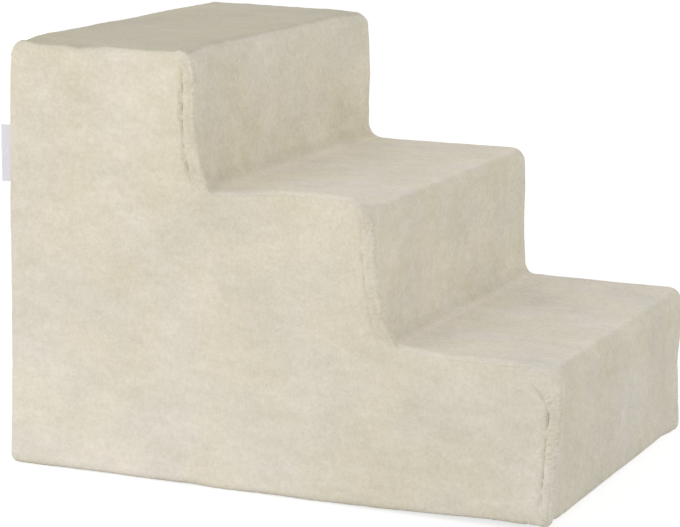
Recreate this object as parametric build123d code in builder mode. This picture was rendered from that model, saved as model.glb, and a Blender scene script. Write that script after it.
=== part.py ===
"""Three-step foam pet stairs in a plush cover with a zip across the back.

The origin is on the floor under the middle of the stairs, with +Z up.
The lowest step faces -Y, the tall back faces +Y, and the width runs along X.
Lengths are in mm.
"""

from build123d import *
import os

os.makedirs("parts", exist_ok=True)

# Stairs, measured over the cover
stair_width = 350.0
first_rise = 120.0
second_rise = 110.0
third_rise = 110.0
first_tread = 143.0
second_tread = 149.0
third_tread = 158.0

# Cover
cover_thickness = 4.0
inner_corner_radius = 6.0

# Foam core, which rounds off under the taut cover
core_slack = 0.3
core_nosing_radius = 8.0
core_corner_radius = 6.0
core_rim_radius = 3.5

# Seams of the cover
side_margin = 8.0
side_wrap = 9.0
top_lap = 14.0
toe_lap = 14.0
heel_lap = 14.0
seam_nosing_radius = 9.0
seam_toe_radius = 30.0
seam_inner_radius = 20.0

# Zip
zip_height = 48.0
zip_gap = 11.0
tape_width = 13.0
tape_thickness = 0.5
coil_thickness = 2.0
chain_slot = 1.6
tooth_pitch = 1.5
tooth_width = 0.9
tooth_reach = 1.4
tooth_root = 0.8
stop_length = 3.0
stop_inset = 1.0

# Zip slider
slider_length = 11.0
slider_shoulder = 2.2
slider_tail = 1.3
slider_slack = 0.2
slider_rounding = 1.2
wing_thickness = 1.2
lower_wing_thickness = 0.8
post_width = 1.2
post_length = 2.6
post_inset = 1.4
bridge_length = 7.6
bridge_width = 2.2
bridge_thickness = 1.0
bridge_rounding = 0.6

# Zip pull
pull_bar_radius = 0.75
pull_slack = 0.15
pull_thickness = 1.2
pull_eye_length = 5.4
pull_eye_slack = 0.5
pull_arm_width = 1.3
pull_length = 24.0
pull_hole_radius = 1.1
pull_hole_inset = 4.0

# Folded ribbon in the left back seam
tag_height = 45.0
tag_centre_height = 248.0
tag_reach = 12.6
tag_layer = 0.4
tag_fold_gap = 0.3

# Every cut runs past the faces it opens by this much
overrun = 5.0

stair_height = first_rise + second_rise + third_rise
stair_depth = first_tread + second_tread + third_tread
first_level = first_rise
second_level = first_rise + second_rise
half_width = stair_width / 2
back_face = stair_depth / 2
front_face = -stair_depth / 2
second_riser = front_face + first_tread
third_riser = second_riser + second_tread
core_inset = cover_thickness + core_slack

# Faces of the zip, counted outwards from the foam
tape_inner = back_face - cover_thickness
tape_outer = tape_inner + tape_thickness
coil_top = tape_outer + coil_thickness
wing_inner = coil_top + slider_slack
wing_outer = wing_inner + wing_thickness
lower_wing_outer = tape_inner - slider_slack
lower_wing_inner = lower_wing_outer - lower_wing_thickness
row_inner = chain_slot / 2
row_outer = row_inner + tooth_reach + tooth_root
seam_half = half_width - side_wrap
chain_half = seam_half - stop_inset - stop_length
throat_half = row_outer + slider_slack
slider_half_width = throat_half + slider_tail
shoulder_half_width = throat_half + slider_shoulder
slider_park = chain_half - slider_slack - slider_length / 2
pull_axis = max(
    back_face + pull_slack + pull_thickness / 2,
    wing_outer + pull_slack + pull_bar_radius,
)


def block_outline(inset):
    """Corners of the stepped outline in (Y, Z), moved inwards by the inset."""
    return [
        (back_face - inset, inset),
        (back_face - inset, stair_height - inset),
        (third_riser + inset, stair_height - inset),
        (third_riser + inset, second_level - inset),
        (second_riser + inset, second_level - inset),
        (second_riser + inset, first_level - inset),
        (front_face + inset, first_level - inset),
        (front_face + inset, inset),
    ]


def stair_block(inset, inner_radius):
    """A solid stair with rounded edges, the inset smaller than the cover's outer faces."""
    shrink = core_inset - inset
    corner = core_corner_radius + shrink
    nosing = core_nosing_radius + shrink
    rim = core_rim_radius + shrink
    radii = [corner, corner, nosing, inner_radius, nosing, inner_radius, nosing, corner]
    with BuildPart() as block:
        with BuildSketch(Plane.YZ.offset(inset - half_width)):
            with BuildLine():
                FilletPolyline(*block_outline(inset), radius=radii, close=True)
            make_face()
        extrude(amount=stair_width - 2 * inset)
        sides = block.faces().sort_by(Axis.X)
        fillet(sides[0].edges() + sides[-1].edges(), rim)
    return block.part


def side_cutter():
    """The space that a left side panel is cut from: the side face inside its seam, and what it wraps."""
    reach = overrun + side_wrap
    outline = block_outline(side_margin)
    outline[0] = (back_face + overrun, -overrun)
    outline[1] = (back_face + overrun, stair_height - side_margin)
    outline[7] = (front_face + side_margin, -overrun)
    radii = [0, 0, seam_nosing_radius, seam_inner_radius, seam_nosing_radius, seam_inner_radius]
    radii += [seam_toe_radius, 0]
    with BuildPart() as cutter:
        with BuildSketch(Plane.YZ.offset(-half_width - overrun)):
            with BuildLine():
                FilletPolyline(*outline, radius=radii, close=True)
            make_face()
        extrude(amount=reach)
    return cutter.part


def span(low, high):
    """A box between two corners, each given as (X, Y, Z)."""
    size = [b - a for a, b in zip(low, high)]
    with BuildPart() as box:
        with BuildSketch(Plane((low[0], low[1], low[2]))):
            Rectangle(size[0], size[1], align=(Align.MIN, Align.MIN))
        extrude(amount=size[2])
    return box.part


# Shell of the cover, which the panels are cut from
with BuildPart() as cover_shell:
    add(stair_block(0, inner_corner_radius))
    add(stair_block(cover_thickness, inner_corner_radius + cover_thickness), mode=Mode.SUBTRACT)

left_cutter = side_cutter()
right_cutter = mirror(left_cutter, about=Plane.YZ)
wide = half_width + overrun
back_zone = span(
    (-wide, back_face - heel_lap, -overrun),
    (wide, back_face + overrun, stair_height - top_lap),
)
base_zone = span(
    (-wide, front_face + toe_lap, -overrun),
    (wide, back_face - heel_lap, cover_thickness + overrun),
)
zip_zone = span(
    (-wide, back_face - heel_lap, zip_height - zip_gap / 2),
    (wide, back_face + overrun, zip_height + zip_gap / 2),
)
tape_zone = span(
    (-wide, tape_inner - overrun, zip_height - row_inner - tape_width),
    (wide, tape_outer, zip_height + row_inner + tape_width),
)

# Side panels
with BuildPart() as side_panel_left:
    add(cover_shell.part)
    add(left_cutter, mode=Mode.INTERSECT)
side_panel_left.part.label = "side_panel_left"

with BuildPart() as side_panel_right:
    add(cover_shell.part)
    add(right_cutter, mode=Mode.INTERSECT)
side_panel_right.part.label = "side_panel_right"

# One strip makes every tread and riser, and laps onto the sides, the back and the underside
with BuildPart() as step_panel:
    add(cover_shell.part)
    add(left_cutter, mode=Mode.SUBTRACT)
    add(right_cutter, mode=Mode.SUBTRACT)
    add(back_zone, mode=Mode.SUBTRACT)
    add(base_zone, mode=Mode.SUBTRACT)
step_panel.part.label = "step_panel"

# Non-slip underside
with BuildPart() as base_panel:
    add(cover_shell.part)
    add(left_cutter, mode=Mode.SUBTRACT)
    add(right_cutter, mode=Mode.SUBTRACT)
    add(base_zone, mode=Mode.INTERSECT)
base_panel.part.label = "base_panel"

# Ribbon tag, folded once, with its root caught in the seam beside the left side panel
tag_thickness = 2 * tag_layer + tag_fold_gap
tag_left = -seam_half
tag_middle = tag_left + tag_thickness / 2
tag_root = back_face - cover_thickness
tag_fold = back_face + tag_reach - tag_thickness / 2
with BuildPart() as side_tag:
    with BuildSketch(Plane.XY.offset(tag_centre_height - tag_height / 2)):
        with BuildLine():
            Line((tag_left, tag_root), (tag_left, tag_fold))
            ThreePointArc(
                (tag_left, tag_fold),
                (tag_middle, tag_fold + tag_thickness / 2),
                (tag_left + tag_thickness, tag_fold),
            )
            Line((tag_left + tag_thickness, tag_fold), (tag_left + tag_thickness, tag_root))
            Line((tag_left + tag_thickness, tag_root), (tag_left + tag_layer + tag_fold_gap, tag_root))
            Line(
                (tag_left + tag_layer + tag_fold_gap, tag_root),
                (tag_left + tag_layer + tag_fold_gap, tag_fold),
            )
            ThreePointArc(
                (tag_left + tag_layer + tag_fold_gap, tag_fold),
                (tag_middle, tag_fold + tag_fold_gap / 2),
                (tag_left + tag_layer, tag_fold),
            )
            Line((tag_left + tag_layer, tag_fold), (tag_left + tag_layer, tag_root))
            Line((tag_left + tag_layer, tag_root), (tag_left, tag_root))
        make_face()
    extrude(amount=tag_height)
side_tag.part.label = "side_tag"

tag_slot = span(
    (tag_left, tag_root, tag_centre_height - tag_height / 2),
    (tag_left + tag_thickness, back_face, tag_centre_height + tag_height / 2),
)

# Back, in two panels that the zip joins, thinned inside where the zip tapes are sewn on
with BuildPart() as back_panel:
    add(cover_shell.part)
    add(left_cutter, mode=Mode.SUBTRACT)
    add(right_cutter, mode=Mode.SUBTRACT)
    add(back_zone, mode=Mode.INTERSECT)
    add(zip_zone, mode=Mode.SUBTRACT)
    add(tape_zone, mode=Mode.SUBTRACT)
    add(tag_slot, mode=Mode.SUBTRACT)

with BuildPart() as back_panel_upper:
    add(back_panel.part)
    split(bisect_by=Plane.XY.offset(zip_height), keep=Keep.TOP)
back_panel_upper.part.label = "back_panel_upper"

with BuildPart() as back_panel_lower:
    add(back_panel.part)
    split(bisect_by=Plane.XY.offset(zip_height), keep=Keep.BOTTOM)
back_panel_lower.part.label = "back_panel_lower"

# Foam core, cut as three slabs and glued; the lowest is relieved behind the zip slider
first_glue = first_level - core_inset
second_glue = second_level - core_inset
core_block = stair_block(core_inset, 0)
slider_groove = span(
    (-chain_half, lower_wing_inner - core_slack, zip_height - shoulder_half_width - core_slack),
    (chain_half, back_face, zip_height + shoulder_half_width + core_slack),
)

with BuildPart() as core_slab_lower:
    add(core_block)
    split(bisect_by=Plane.XY.offset(first_glue), keep=Keep.BOTTOM)
    add(slider_groove, mode=Mode.SUBTRACT)
core_slab_lower.part.label = "core_slab_lower"

with BuildPart() as core_slab_middle:
    add(core_block)
    split(bisect_by=Plane.XY.offset(first_glue), keep=Keep.TOP)
    split(bisect_by=Plane.XY.offset(second_glue), keep=Keep.BOTTOM)
core_slab_middle.part.label = "core_slab_middle"

with BuildPart() as core_slab_upper:
    add(core_block)
    split(bisect_by=Plane.XY.offset(second_glue), keep=Keep.TOP)
core_slab_upper.part.label = "core_slab_upper"

# Zip tapes, one sewn behind each back panel
with BuildPart() as zip_tape_upper:
    add(
        span(
            (-seam_half, tape_inner, zip_height + row_inner),
            (seam_half, tape_outer, zip_height + row_inner + tape_width),
        )
    )
zip_tape_upper.part.label = "zip_tape_upper"

with BuildPart() as zip_tape_lower:
    mirror(zip_tape_upper.part, about=Plane.XY.offset(zip_height))
zip_tape_lower.part.label = "zip_tape_lower"

# Zip teeth: a comb on each tape, with the lower one half a pitch along
tooth_count = int(2 * chain_half / tooth_pitch) - 1


def tooth_row(first_tooth):
    """Outline points of the upper comb in (X, Z), its first tooth starting at the given X."""
    root = zip_height + row_inner + tooth_reach
    tip = zip_height + row_inner
    points = [(chain_half, root), (chain_half, root + tooth_root)]
    points += [(-chain_half, root + tooth_root), (-chain_half, root)]
    for tooth in range(tooth_count):
        left = first_tooth + tooth * tooth_pitch
        right = left + tooth_width
        points += [(left, root), (left, tip), (right, tip), (right, root)]
    return points


def coil(first_tooth):
    """A comb of teeth standing on the outer face of the upper tape."""
    points = [(x, -z) for x, z in tooth_row(first_tooth)]
    zip_plane = Plane((0, tape_outer, 0), x_dir=(1, 0, 0), z_dir=(0, 1, 0))
    with BuildPart() as comb:
        with BuildSketch(zip_plane):
            with BuildLine():
                Polyline(*points, close=True)
            make_face()
        extrude(amount=coil_thickness)
    return comb.part


first_tooth = (tooth_pitch - tooth_width) / 2 - chain_half
with BuildPart() as zip_coil_upper:
    add(coil(first_tooth))
zip_coil_upper.part.label = "zip_coil_upper"

with BuildPart() as zip_coil_lower:
    mirror(coil(first_tooth + tooth_pitch / 2), about=Plane.XY.offset(zip_height))
zip_coil_lower.part.label = "zip_coil_lower"

# Stops at both ends of the teeth
with BuildPart() as zip_stop_closed:
    add(
        span(
            (chain_half, tape_outer, zip_height - row_outer),
            (chain_half + stop_length, coil_top, zip_height + row_outer),
        )
    )
zip_stop_closed.part.label = "zip_stop_closed"

with BuildPart() as zip_stop_open:
    mirror(zip_stop_closed.part, about=Plane.YZ)
zip_stop_open.part.label = "zip_stop_open"

# Slider: two wings joined by a post between the rows of teeth, flanges, and a bridge for the pull
slider_nose = slider_park + slider_length / 2
slider_heel = slider_park - slider_length / 2


def slider_outline():
    """The slider seen square on, in (X, Z), wide at the end where the two rows come in."""
    with BuildSketch() as outline:
        with BuildLine():
            FilletPolyline(
                (slider_nose, -zip_height - shoulder_half_width),
                (slider_nose, -zip_height + shoulder_half_width),
                (slider_park, -zip_height + shoulder_half_width),
                (slider_heel, -zip_height + slider_half_width),
                (slider_heel, -zip_height - slider_half_width),
                (slider_park, -zip_height - shoulder_half_width),
                radius=slider_rounding,
                close=True,
            )
        make_face()
    return outline.sketch


def facing_back(level):
    """A plane that looks out of the back at the given Y, with X along the zip."""
    return Plane((0, level, 0), x_dir=(1, 0, 0), z_dir=(0, 1, 0))


chain_throat = span(
    (slider_heel - overrun, tape_outer, zip_height - throat_half),
    (slider_nose + overrun, wing_inner, zip_height + throat_half),
)
bridge_base = wing_outer
bridge_window = pull_axis + pull_bar_radius + pull_slack
bridge_top = bridge_window + bridge_thickness
window_half = bridge_length / 2 - bridge_thickness
with BuildPart() as zip_slider:
    with BuildSketch(facing_back(tape_outer + slider_slack)):
        add(slider_outline())
    extrude(amount=wing_outer - tape_outer - slider_slack)
    add(chain_throat, mode=Mode.SUBTRACT)
    with BuildSketch(facing_back(lower_wing_inner)):
        add(slider_outline())
    extrude(amount=lower_wing_thickness)
    add(
        span(
            (slider_nose - post_inset - post_length, lower_wing_outer, zip_height - post_width / 2),
            (slider_nose - post_inset, wing_inner, zip_height + post_width / 2),
        )
    )
    with BuildSketch(Plane.XY.offset(zip_height - bridge_width / 2)):
        with BuildLine():
            FilletPolyline(
                (slider_park - bridge_length / 2, bridge_base),
                (slider_park - bridge_length / 2, bridge_top),
                (slider_park + bridge_length / 2, bridge_top),
                (slider_park + bridge_length / 2, bridge_base),
                radius=bridge_rounding,
            )
            Polyline(
                (slider_park + bridge_length / 2, bridge_base),
                (slider_park + window_half, bridge_base),
                (slider_park + window_half, bridge_window),
                (slider_park - window_half, bridge_window),
                (slider_park - window_half, bridge_base),
                (slider_park - bridge_length / 2, bridge_base),
            )
        make_face()
    extrude(amount=bridge_width)
zip_slider.part.label = "zip_slider"

# Pull: a flat tab with an eye whose round bar turns under the slider's bridge
eye_half = bridge_width / 2 + pull_eye_slack
pull_half = eye_half + pull_arm_width
pull_end = slider_park - pull_length
with BuildPart() as zip_pull:
    with BuildSketch(facing_back(pull_axis - pull_thickness / 2)):
        with BuildLine():
            Polyline(
                (slider_park, -zip_height + pull_half),
                (pull_end + pull_half, -zip_height + pull_half),
            )
            ThreePointArc(
                (pull_end + pull_half, -zip_height + pull_half),
                (pull_end, -zip_height),
                (pull_end + pull_half, -zip_height - pull_half),
            )
            Polyline(
                (pull_end + pull_half, -zip_height - pull_half),
                (slider_park, -zip_height - pull_half),
                (slider_park, -zip_height + pull_half),
            )
        make_face()
        with Locations((slider_park - pull_eye_length / 2, -zip_height)):
            Rectangle(pull_eye_length, 2 * eye_half, mode=Mode.SUBTRACT)
        with Locations((pull_end + pull_hole_inset, -zip_height)):
            Circle(pull_hole_radius, mode=Mode.SUBTRACT)
    extrude(amount=pull_thickness)
    with BuildSketch(Plane.XY.offset(zip_height - pull_half)):
        with Locations((slider_park, pull_axis)):
            Circle(pull_bar_radius)
    extrude(amount=2 * pull_half)
zip_pull.part.label = "zip_pull"

pieces = [
    core_slab_lower,
    core_slab_middle,
    core_slab_upper,
    step_panel,
    side_panel_left,
    side_panel_right,
    back_panel_upper,
    back_panel_lower,
    base_panel,
    zip_tape_upper,
    zip_tape_lower,
    zip_coil_upper,
    zip_coil_lower,
    zip_stop_closed,
    zip_stop_open,
    zip_slider,
    zip_pull,
    side_tag,
]
for piece in pieces:
    export_step(piece.part, f"parts/{piece.part.label}.step")
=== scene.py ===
"""Looks of the three-step pet stairs: a foam core in a sewn cream plush cover.

Lengths are in metres in the frame's own axes. The first step faces -Y, the tall back +Y, X is the width.
Each cover panel is cut as a flat pattern and laid over the core, then drawn in along its seams.
"""

import math
from collections import namedtuple

import bmesh
import bpy
import numpy as np
from mathutils import Matrix, Vector
from mathutils.geometry import delaunay_2d_cdt


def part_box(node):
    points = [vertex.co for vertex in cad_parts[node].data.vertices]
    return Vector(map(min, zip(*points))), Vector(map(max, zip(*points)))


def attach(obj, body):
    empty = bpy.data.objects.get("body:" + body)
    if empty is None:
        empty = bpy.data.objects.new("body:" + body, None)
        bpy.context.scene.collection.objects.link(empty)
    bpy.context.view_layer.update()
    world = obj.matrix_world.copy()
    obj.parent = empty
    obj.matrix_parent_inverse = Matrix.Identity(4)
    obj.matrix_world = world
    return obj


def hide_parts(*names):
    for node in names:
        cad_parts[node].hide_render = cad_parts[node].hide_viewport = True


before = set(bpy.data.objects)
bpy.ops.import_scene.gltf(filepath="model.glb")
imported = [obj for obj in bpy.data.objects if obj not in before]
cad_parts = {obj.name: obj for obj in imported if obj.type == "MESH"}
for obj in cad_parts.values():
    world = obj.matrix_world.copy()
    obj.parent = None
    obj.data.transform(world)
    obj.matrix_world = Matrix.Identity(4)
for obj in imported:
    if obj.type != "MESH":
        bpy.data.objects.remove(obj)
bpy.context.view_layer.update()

MM = 0.001

# Sizes of the frame
strip_low, strip_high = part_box("step_panel")
lower_low, lower_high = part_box("core_slab_lower")
middle_low, middle_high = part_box("core_slab_middle")
upper_low, upper_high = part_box("core_slab_upper")
back_low, back_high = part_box("back_panel_upper")
heel_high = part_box("back_panel_lower")[1]
base_low, base_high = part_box("base_panel")
tag_low, tag_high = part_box("side_tag")
tape_low, tape_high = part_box("zip_tape_upper")
coil_low, coil_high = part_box("zip_coil_upper")

HALF_WIDTH = strip_high[0]
FRONT = strip_low[1]
BACK = strip_high[1]
TOP = strip_high[2]
CORE_INSET = HALF_WIDTH - lower_high[0]
FIRST_LEVEL = lower_high[2] + CORE_INSET
SECOND_LEVEL = middle_high[2] + CORE_INSET
SECOND_RISER = middle_low[1] - CORE_INSET
THIRD_RISER = upper_low[1] - CORE_INSET
SEAM_HALF = back_high[0]
SIDE_WRAP = HALF_WIDTH - SEAM_HALF
TOP_LAP = TOP - back_high[2]
TOE_LAP = base_low[1] - FRONT
HEEL_LAP = BACK - base_high[1]
ZIP_TOP = back_low[2]
ZIP_BOTTOM = heel_high[2]
ZIP_HEIGHT = (ZIP_TOP + ZIP_BOTTOM) / 2

# Roundings of the cover: at its sides, at the nosings, in the two inner folds and at the top back edge
RIM = 7 * MM
NOSING = 11 * MM
FIRST_INNER = 13 * MM
SECOND_INNER = 16 * MM
BACK_NOSING = 12.5 * MM

# The seam on a side face: how far it runs inside each edge of the outline, how it turns at the toe, the
# nosings, the folds and the back, and a small step that keeps its ends clear of the hem
TOE_MARGIN = 4 * MM
RISER_MARGIN = 6 * MM
TREAD_MARGIN = 4 * MM
TOP_MARGIN = 8 * MM
TOE_SEAM = 30 * MM
NOSING_SEAM = 9 * MM
INNER_SEAM = 20 * MM
BACK_SEAM = 5 * MM
EDGE_JOG = 1 * MM

# How the cloth lies along a seam: drawn in at the stitches, to an uneven share of its depth, then a soft roll
# of pile on each side
SEAM_DEPTH = 2.7 * MM
SEAM_HALF_GAP = 0.95 * MM
SEAM_WANDER = 0.75 * MM
SEAM_RANGE = 0.3, 1.3
END_DEPTH = 1.2 * MM
END_FADE = 10 * MM
EDGE_ROLL = 0.9 * MM
SIDE_ROLL = 0.6 * MM
ROLL_FADE = 7 * MM
RIM_SQUARENESS = 0.62
LEFT_PROUD = 3.5 * MM
RIGHT_PROUD = 0.5 * MM
PROUD_FADE = 13 * MM
PROUD_START = 24 * MM
HEM_DEPTH = 3 * MM

# The pile hides the seam on the treads and the top, and up the risers it shows more or less: heights in mm,
# each with the groove's share of its full depth
SEAM_SHOWS = [(0, 0.2), (16, 0.2), (20, 0.6), (26, 0.6), (30, 0.3), (34, 0.8), (42, 0.8), (47, 0.3)]
SEAM_SHOWS += [(60, 0.4), (79, 0.4), (84, 1), (92, 0.9), (97, 0.35), (101, 0.7), (108, 0.6), (113, 0.15)]
SEAM_SHOWS += [(135, 0.3), (200, 0.4), (222, 0.15), (238, 0.4)]
SEAM_SHOWS += [(250, 0.95), (318, 1.05), (326, 0.6), (332, 0.1)]

# The two rows of lumps beside a seam and the dip between them: how far off each lies, and its width
LUMP_HEIGHT = 1.25 * MM
LUMP_PITCH = 3.6 * MM
RIGHT_LUMPS = 0.3
NEAR_LUMPS = 3.2 * MM, 1.7 * MM
FAR_LUMPS = 10 * MM, 2.2 * MM
LUMP_GAP = 6.6 * MM, 1.1 * MM

# The raised lip along a tread's edge, an uneven share of its height, and the crease under the second nosing
# with where it starts and ends
TREAD_LIP = 1.3 * MM
LIP_RANGE = 0.2, 1.5
LIP_AT = 10.5 * MM
LIP_WIDTH = 2.6 * MM
CREASE_DEPTH = 0.9 * MM
CREASE_DROP = 17 * MM
CREASE_SLOPE = 0.05
CREASE_WIDTH = 4 * MM
CREASE_START = -60 * MM, 10 * MM
CREASE_END = 70 * MM, 130 * MM

# The side panels' wrap round the back stays flat at the zip's height, where the pull swings past it
PULL_ROOM = 0.4 * MM
WRAP_SWELL = 3 * MM
PULL_PATH = 7 * MM, 14 * MM

# The back panels' edges at the zip: turned in, and drawn down by the topstitching
ZIP_EDGE_DEPTH = 1.8 * MM
ZIP_EDGE_WIDTH = 1.5 * MM
TOPSTITCH = 4 * MM
TOPSTITCH_DEPTH = 0.9 * MM
TOPSTITCH_WIDTH = 1.3 * MM
STITCH_PITCH = 3 * MM
STITCH_HALF = 1.2 * MM
STITCH_POINTS = 7
STITCH_SUNK = 0.75 * MM
STITCH_ARCH = 0.35 * MM
STITCH_SINK = 0.1 * MM
STITCH_SKEW = 0.12 * MM
THREAD_RADIUS = 0.24 * MM
THREAD_SIDES = 6

# Large factors that scatter whole numbers, so that a noise is the same each run
SCATTER = 374761393, 668265263, 2147483647
SEED_SCATTER = 97531
LAST_SCATTER = 1274126177

# Noises in the cloth and the foam: the size of their lumps and a seed each
SEAM_BREAKS = 11 * MM, 51
LONG_WANDER = 9 * MM, 53
SHORT_WANDER = 4 * MM, 55
STITCH_SHIFTS = 16 * MM, 31
LUMP_SHARES = 12 * MM, 33
SMALL_TUFTS = 3.4 * MM, 35
LARGE_TUFTS = 6 * MM, 37
STRIP_ROLLS = 14 * MM, 21
SIDE_ROLLS = 14 * MM, 23
LONG_LIPS = 24 * MM, 41
SHORT_LIPS = 7 * MM, 43
FOAM_WAVES = 30 * MM, 41
TAPE_RIPPLES = 12 * MM, 61
RIBBON_RIPPLES = 20 * MM, 71

# Swells and nap of the cloth: their height, size and seed
SWELLS = [(0.7 * MM, 90 * MM, 3), (0.35 * MM, 34 * MM, 5), (0.16 * MM, 9 * MM, 7), (0.14 * MM, 5 * MM, 11)]

# Mesh spacing
RISER_ROW = 0.85 * MM
TREAD_ROW = 2 * MM
CORNER_ROW = 1 * MM
COARSE = 1.9 * MM
HALF_COLUMNS = 55
NEAR_COLUMN = 0.36
RIM_COLUMNS = 12
RIM_STEPS = 400
SEAM_RING = 0.9 * MM
RING_ROOM = 0.7 * SEAM_RING
GRID_ROOM = 0.6 * COARSE
MERGE_WITHIN = 1e-9
HEEL_TURNS = 14
BASE_SPACING = 4 * MM
TAPE_COLUMNS = 167
TAPE_ROWS = 8

# Foam core, with a groove in its back behind the zip
FOAM_SPACING = 9 * MM
FOAM_STATIONS = 39
FOAM_TURNS = 7
FOAM_END_TURNS = 5
FOAM_RIM = 3.5 * MM
FOAM_CORNER = 6 * MM
FOAM_NOSING = 8 * MM
FOAM_SLACK = 0.25 * MM
GROOVE_HALF = 6 * MM
GROOVE_ROOM = 0.4 * MM

# Non-slip cloth
BASE_CLOTH = 0.5 * MM
DOT_RADIUS = 1.6 * MM
DOT_ROOT = 0.1 * MM
DOT_PITCH = 12 * MM

# Zip
TAPE_OUTER = tape_high[1]
TAPE_SINK = 0.12 * MM
TAPE_WAVE = 0.08 * MM
TOOTH_PITCH = 1.5 * MM
CHAIN_HALF = (coil_high[0] - coil_low[0]) / 2
TOOTH_COUNT = int(2 * CHAIN_HALF / TOOTH_PITCH) - 1
TOOTH_TIP = 0.66 * MM
TOOTH_ROOT = 3 * MM
TOOTH_WIRE = 0.3 * MM
TOOTH_HEAD = 0.42 * MM
TOOTH_SWAY = 0.16 * MM
TOOTH_POINTS = 14
TOOTH_SIDES = 6
COIL_LIFT = 0.35 * MM
COIL_DEPTH = 1.25 * MM
STOP_ROUNDING = 0.7 * MM

# Ribbon tag: its two ends pinched together in the seam to a share of its fold's width
RIBBON = 0.35 * MM
TAG_SLACK = 2.2 * MM
RIBBON_PINCH = 0.35
RIBBON_OPENING = 0.6
RIBBON_BOW = 0.5 * MM
RIBBON_BOW_TURNS = 90
RIBBON_WAVE = 0.3 * MM
RIBBON_ROWS = 40
RIBBON_COLUMNS = 12
RIBBON_TURNS = 9

# Where the cloth is pulled off the straight line at one side, in mm and in (Y, Z) of that side: the place,
# how far the pull reaches to the front, back, down and up, and how far the cloth moves there. A wide pull
# also holds its full strength over a stretch of Y, and a pull fades out over its fade across the stairs.
Pull = namedtuple("Pull", "at front back down up by stretch fade", defaults=(0, 42))


def in_mm(*place):
    """A place of the frame in mm."""
    return [value / MM for value in place]


LEFT_PULLS = [
    Pull(in_mm(SECOND_RISER, FIRST_LEVEL), 70, 60, 50, 100, (-19, 5)),
    Pull(in_mm(FRONT + 20 * MM, FIRST_LEVEL), 22, 60, 50, 40, (0, 4.5), 125),
    Pull(in_mm(THIRD_RISER, SECOND_LEVEL), 50, 50, 40, 65, (-14, 0)),
    Pull(in_mm(SECOND_RISER + 16 * MM, SECOND_LEVEL), 20, 130, 45, 40, (0, 6), 50),
    Pull(in_mm(FRONT, 115 * MM), 30, 50, 160, 60, (-8.5, 0)),
    Pull(in_mm(THIRD_RISER + 12 * MM, TOP), 20, 40, 60, 30, (0, -3), 120),
    Pull(in_mm(BACK - 62 * MM, TOP), 45, 45, 60, 30, (0, -3)),
    Pull(in_mm(BACK, 0), 90, 40, 40, 200, (1.2, 0)),
    Pull(in_mm(BACK, TOP), 30, 40, 50, 30, (-1, -2.4), 0, 30),
    Pull(in_mm(FRONT, 0), 30, 220, 30, 40, (0, 4), 40),
]
RIGHT_PULLS = [
    Pull(in_mm(SECOND_RISER, FIRST_LEVEL), 40, 40, 40, 50, (-4, 1)),
    Pull(in_mm(SECOND_RISER, FIRST_LEVEL), 18, 18, 18, 18, (3, -3)),
    Pull(in_mm(FRONT, FIRST_LEVEL), 22, 50, 40, 40, (0, 2), 130),
    Pull(in_mm(THIRD_RISER, SECOND_LEVEL), 40, 40, 40, 50, (-4, 1)),
    Pull(in_mm(THIRD_RISER, SECOND_LEVEL), 20, 20, 20, 20, (4, -2.5)),
    Pull(in_mm(THIRD_RISER, SECOND_LEVEL + 55 * MM), 40, 40, 90, 90, (-3.5, 0)),
    Pull(in_mm(THIRD_RISER, TOP), 30, 90, 40, 30, (0, -2.5)),
    Pull(in_mm(SECOND_RISER, SECOND_LEVEL), 30, 30, 40, 30, (1.5, 0)),
    Pull(in_mm(FRONT, 60 * MM), 30, 60, 70, 70, (2.5, 0)),
    Pull(in_mm(FRONT, 0), 30, 50, 30, 60, (-1.5, -2.5)),
]


def smooth(low, high, value):
    """0 below low, 1 above high, and an even slope between."""
    t = np.clip((value - low) / (high - low), 0, 1)
    return t * t * (3 - 2 * t)


def bell(value, at, width):
    """1 at a place, easing to nothing on both sides of it."""
    return np.exp(-(((value - at) / width) ** 2))


def lattice(cells, seed):
    """A fixed random number from -1 to 1 for each whole-numbered cell."""
    n = sum(cells[..., axis] * factor for axis, factor in enumerate(SCATTER)) + seed * SEED_SCATTER
    n = (n ^ (n >> 13)) * LAST_SCATTER
    n = n ^ (n >> 16)
    return (n & 0xFFFF) / (0xFFFF / 2) - 1


def drift(points, size, seed):
    """Smooth noise from about -1 to 1 whose lumps are about size across."""
    scaled = np.asarray(points) / size
    base = np.floor(scaled).astype(np.int64)
    f = scaled - base
    f = f * f * (3 - 2 * f)
    total = 0
    for corner in range(8):
        step = np.array([corner & 1, corner >> 1 & 1, corner >> 2 & 1])
        weight = np.prod(np.where(step, f, 1 - f), axis=-1)
        total = total + weight * lattice(base + step, seed)
    return total


def run_lengths(line):
    """How far along a line of points each of them lies."""
    return np.concatenate([[0], np.cumsum(np.linalg.norm(np.diff(line, axis=0), axis=1))])


def fall(value, at, below, above, stretch=0):
    """1 at a place and over the stretch after it, easing to 0 at its reach on either side."""
    off = np.where(value < at, (at - value) / below, np.clip(value - at - stretch, 0, None) / above)
    return np.clip(1 - off, 0, None) ** 2


def pull_of(yz, pull):
    """How far one pull moves points of the (Y, Z) plane."""
    y, z = yz[..., 0] / MM, yz[..., 1] / MM
    lengthways = fall(y, pull.at[0], pull.front, pull.back, pull.stretch)
    share = lengthways * fall(z, pull.at[1], pull.down, pull.up)
    return share[..., None] * np.array(pull.by) * MM


def pulled(yz, pulls):
    """Moves points of the (Y, Z) plane as the pulls say."""
    yz = np.asarray(yz, float)
    return yz + sum(pull_of(yz, pull) for pull in pulls)


def pulled_across(x, yz):
    """Moves points as the two sides' pulls say, each fading out from its side's rim towards the middle."""
    moved = yz.copy()
    for side, pulls in ((-1, LEFT_PULLS), (1, RIGHT_PULLS)):
        from_rim = np.clip(HALF_WIDTH - RIM - side * x, 0, None) / MM
        for pull in pulls:
            moved += pull_of(yz, pull) * (1 - smooth(0, pull.fade, from_rim))[..., None]
    return moved


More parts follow.
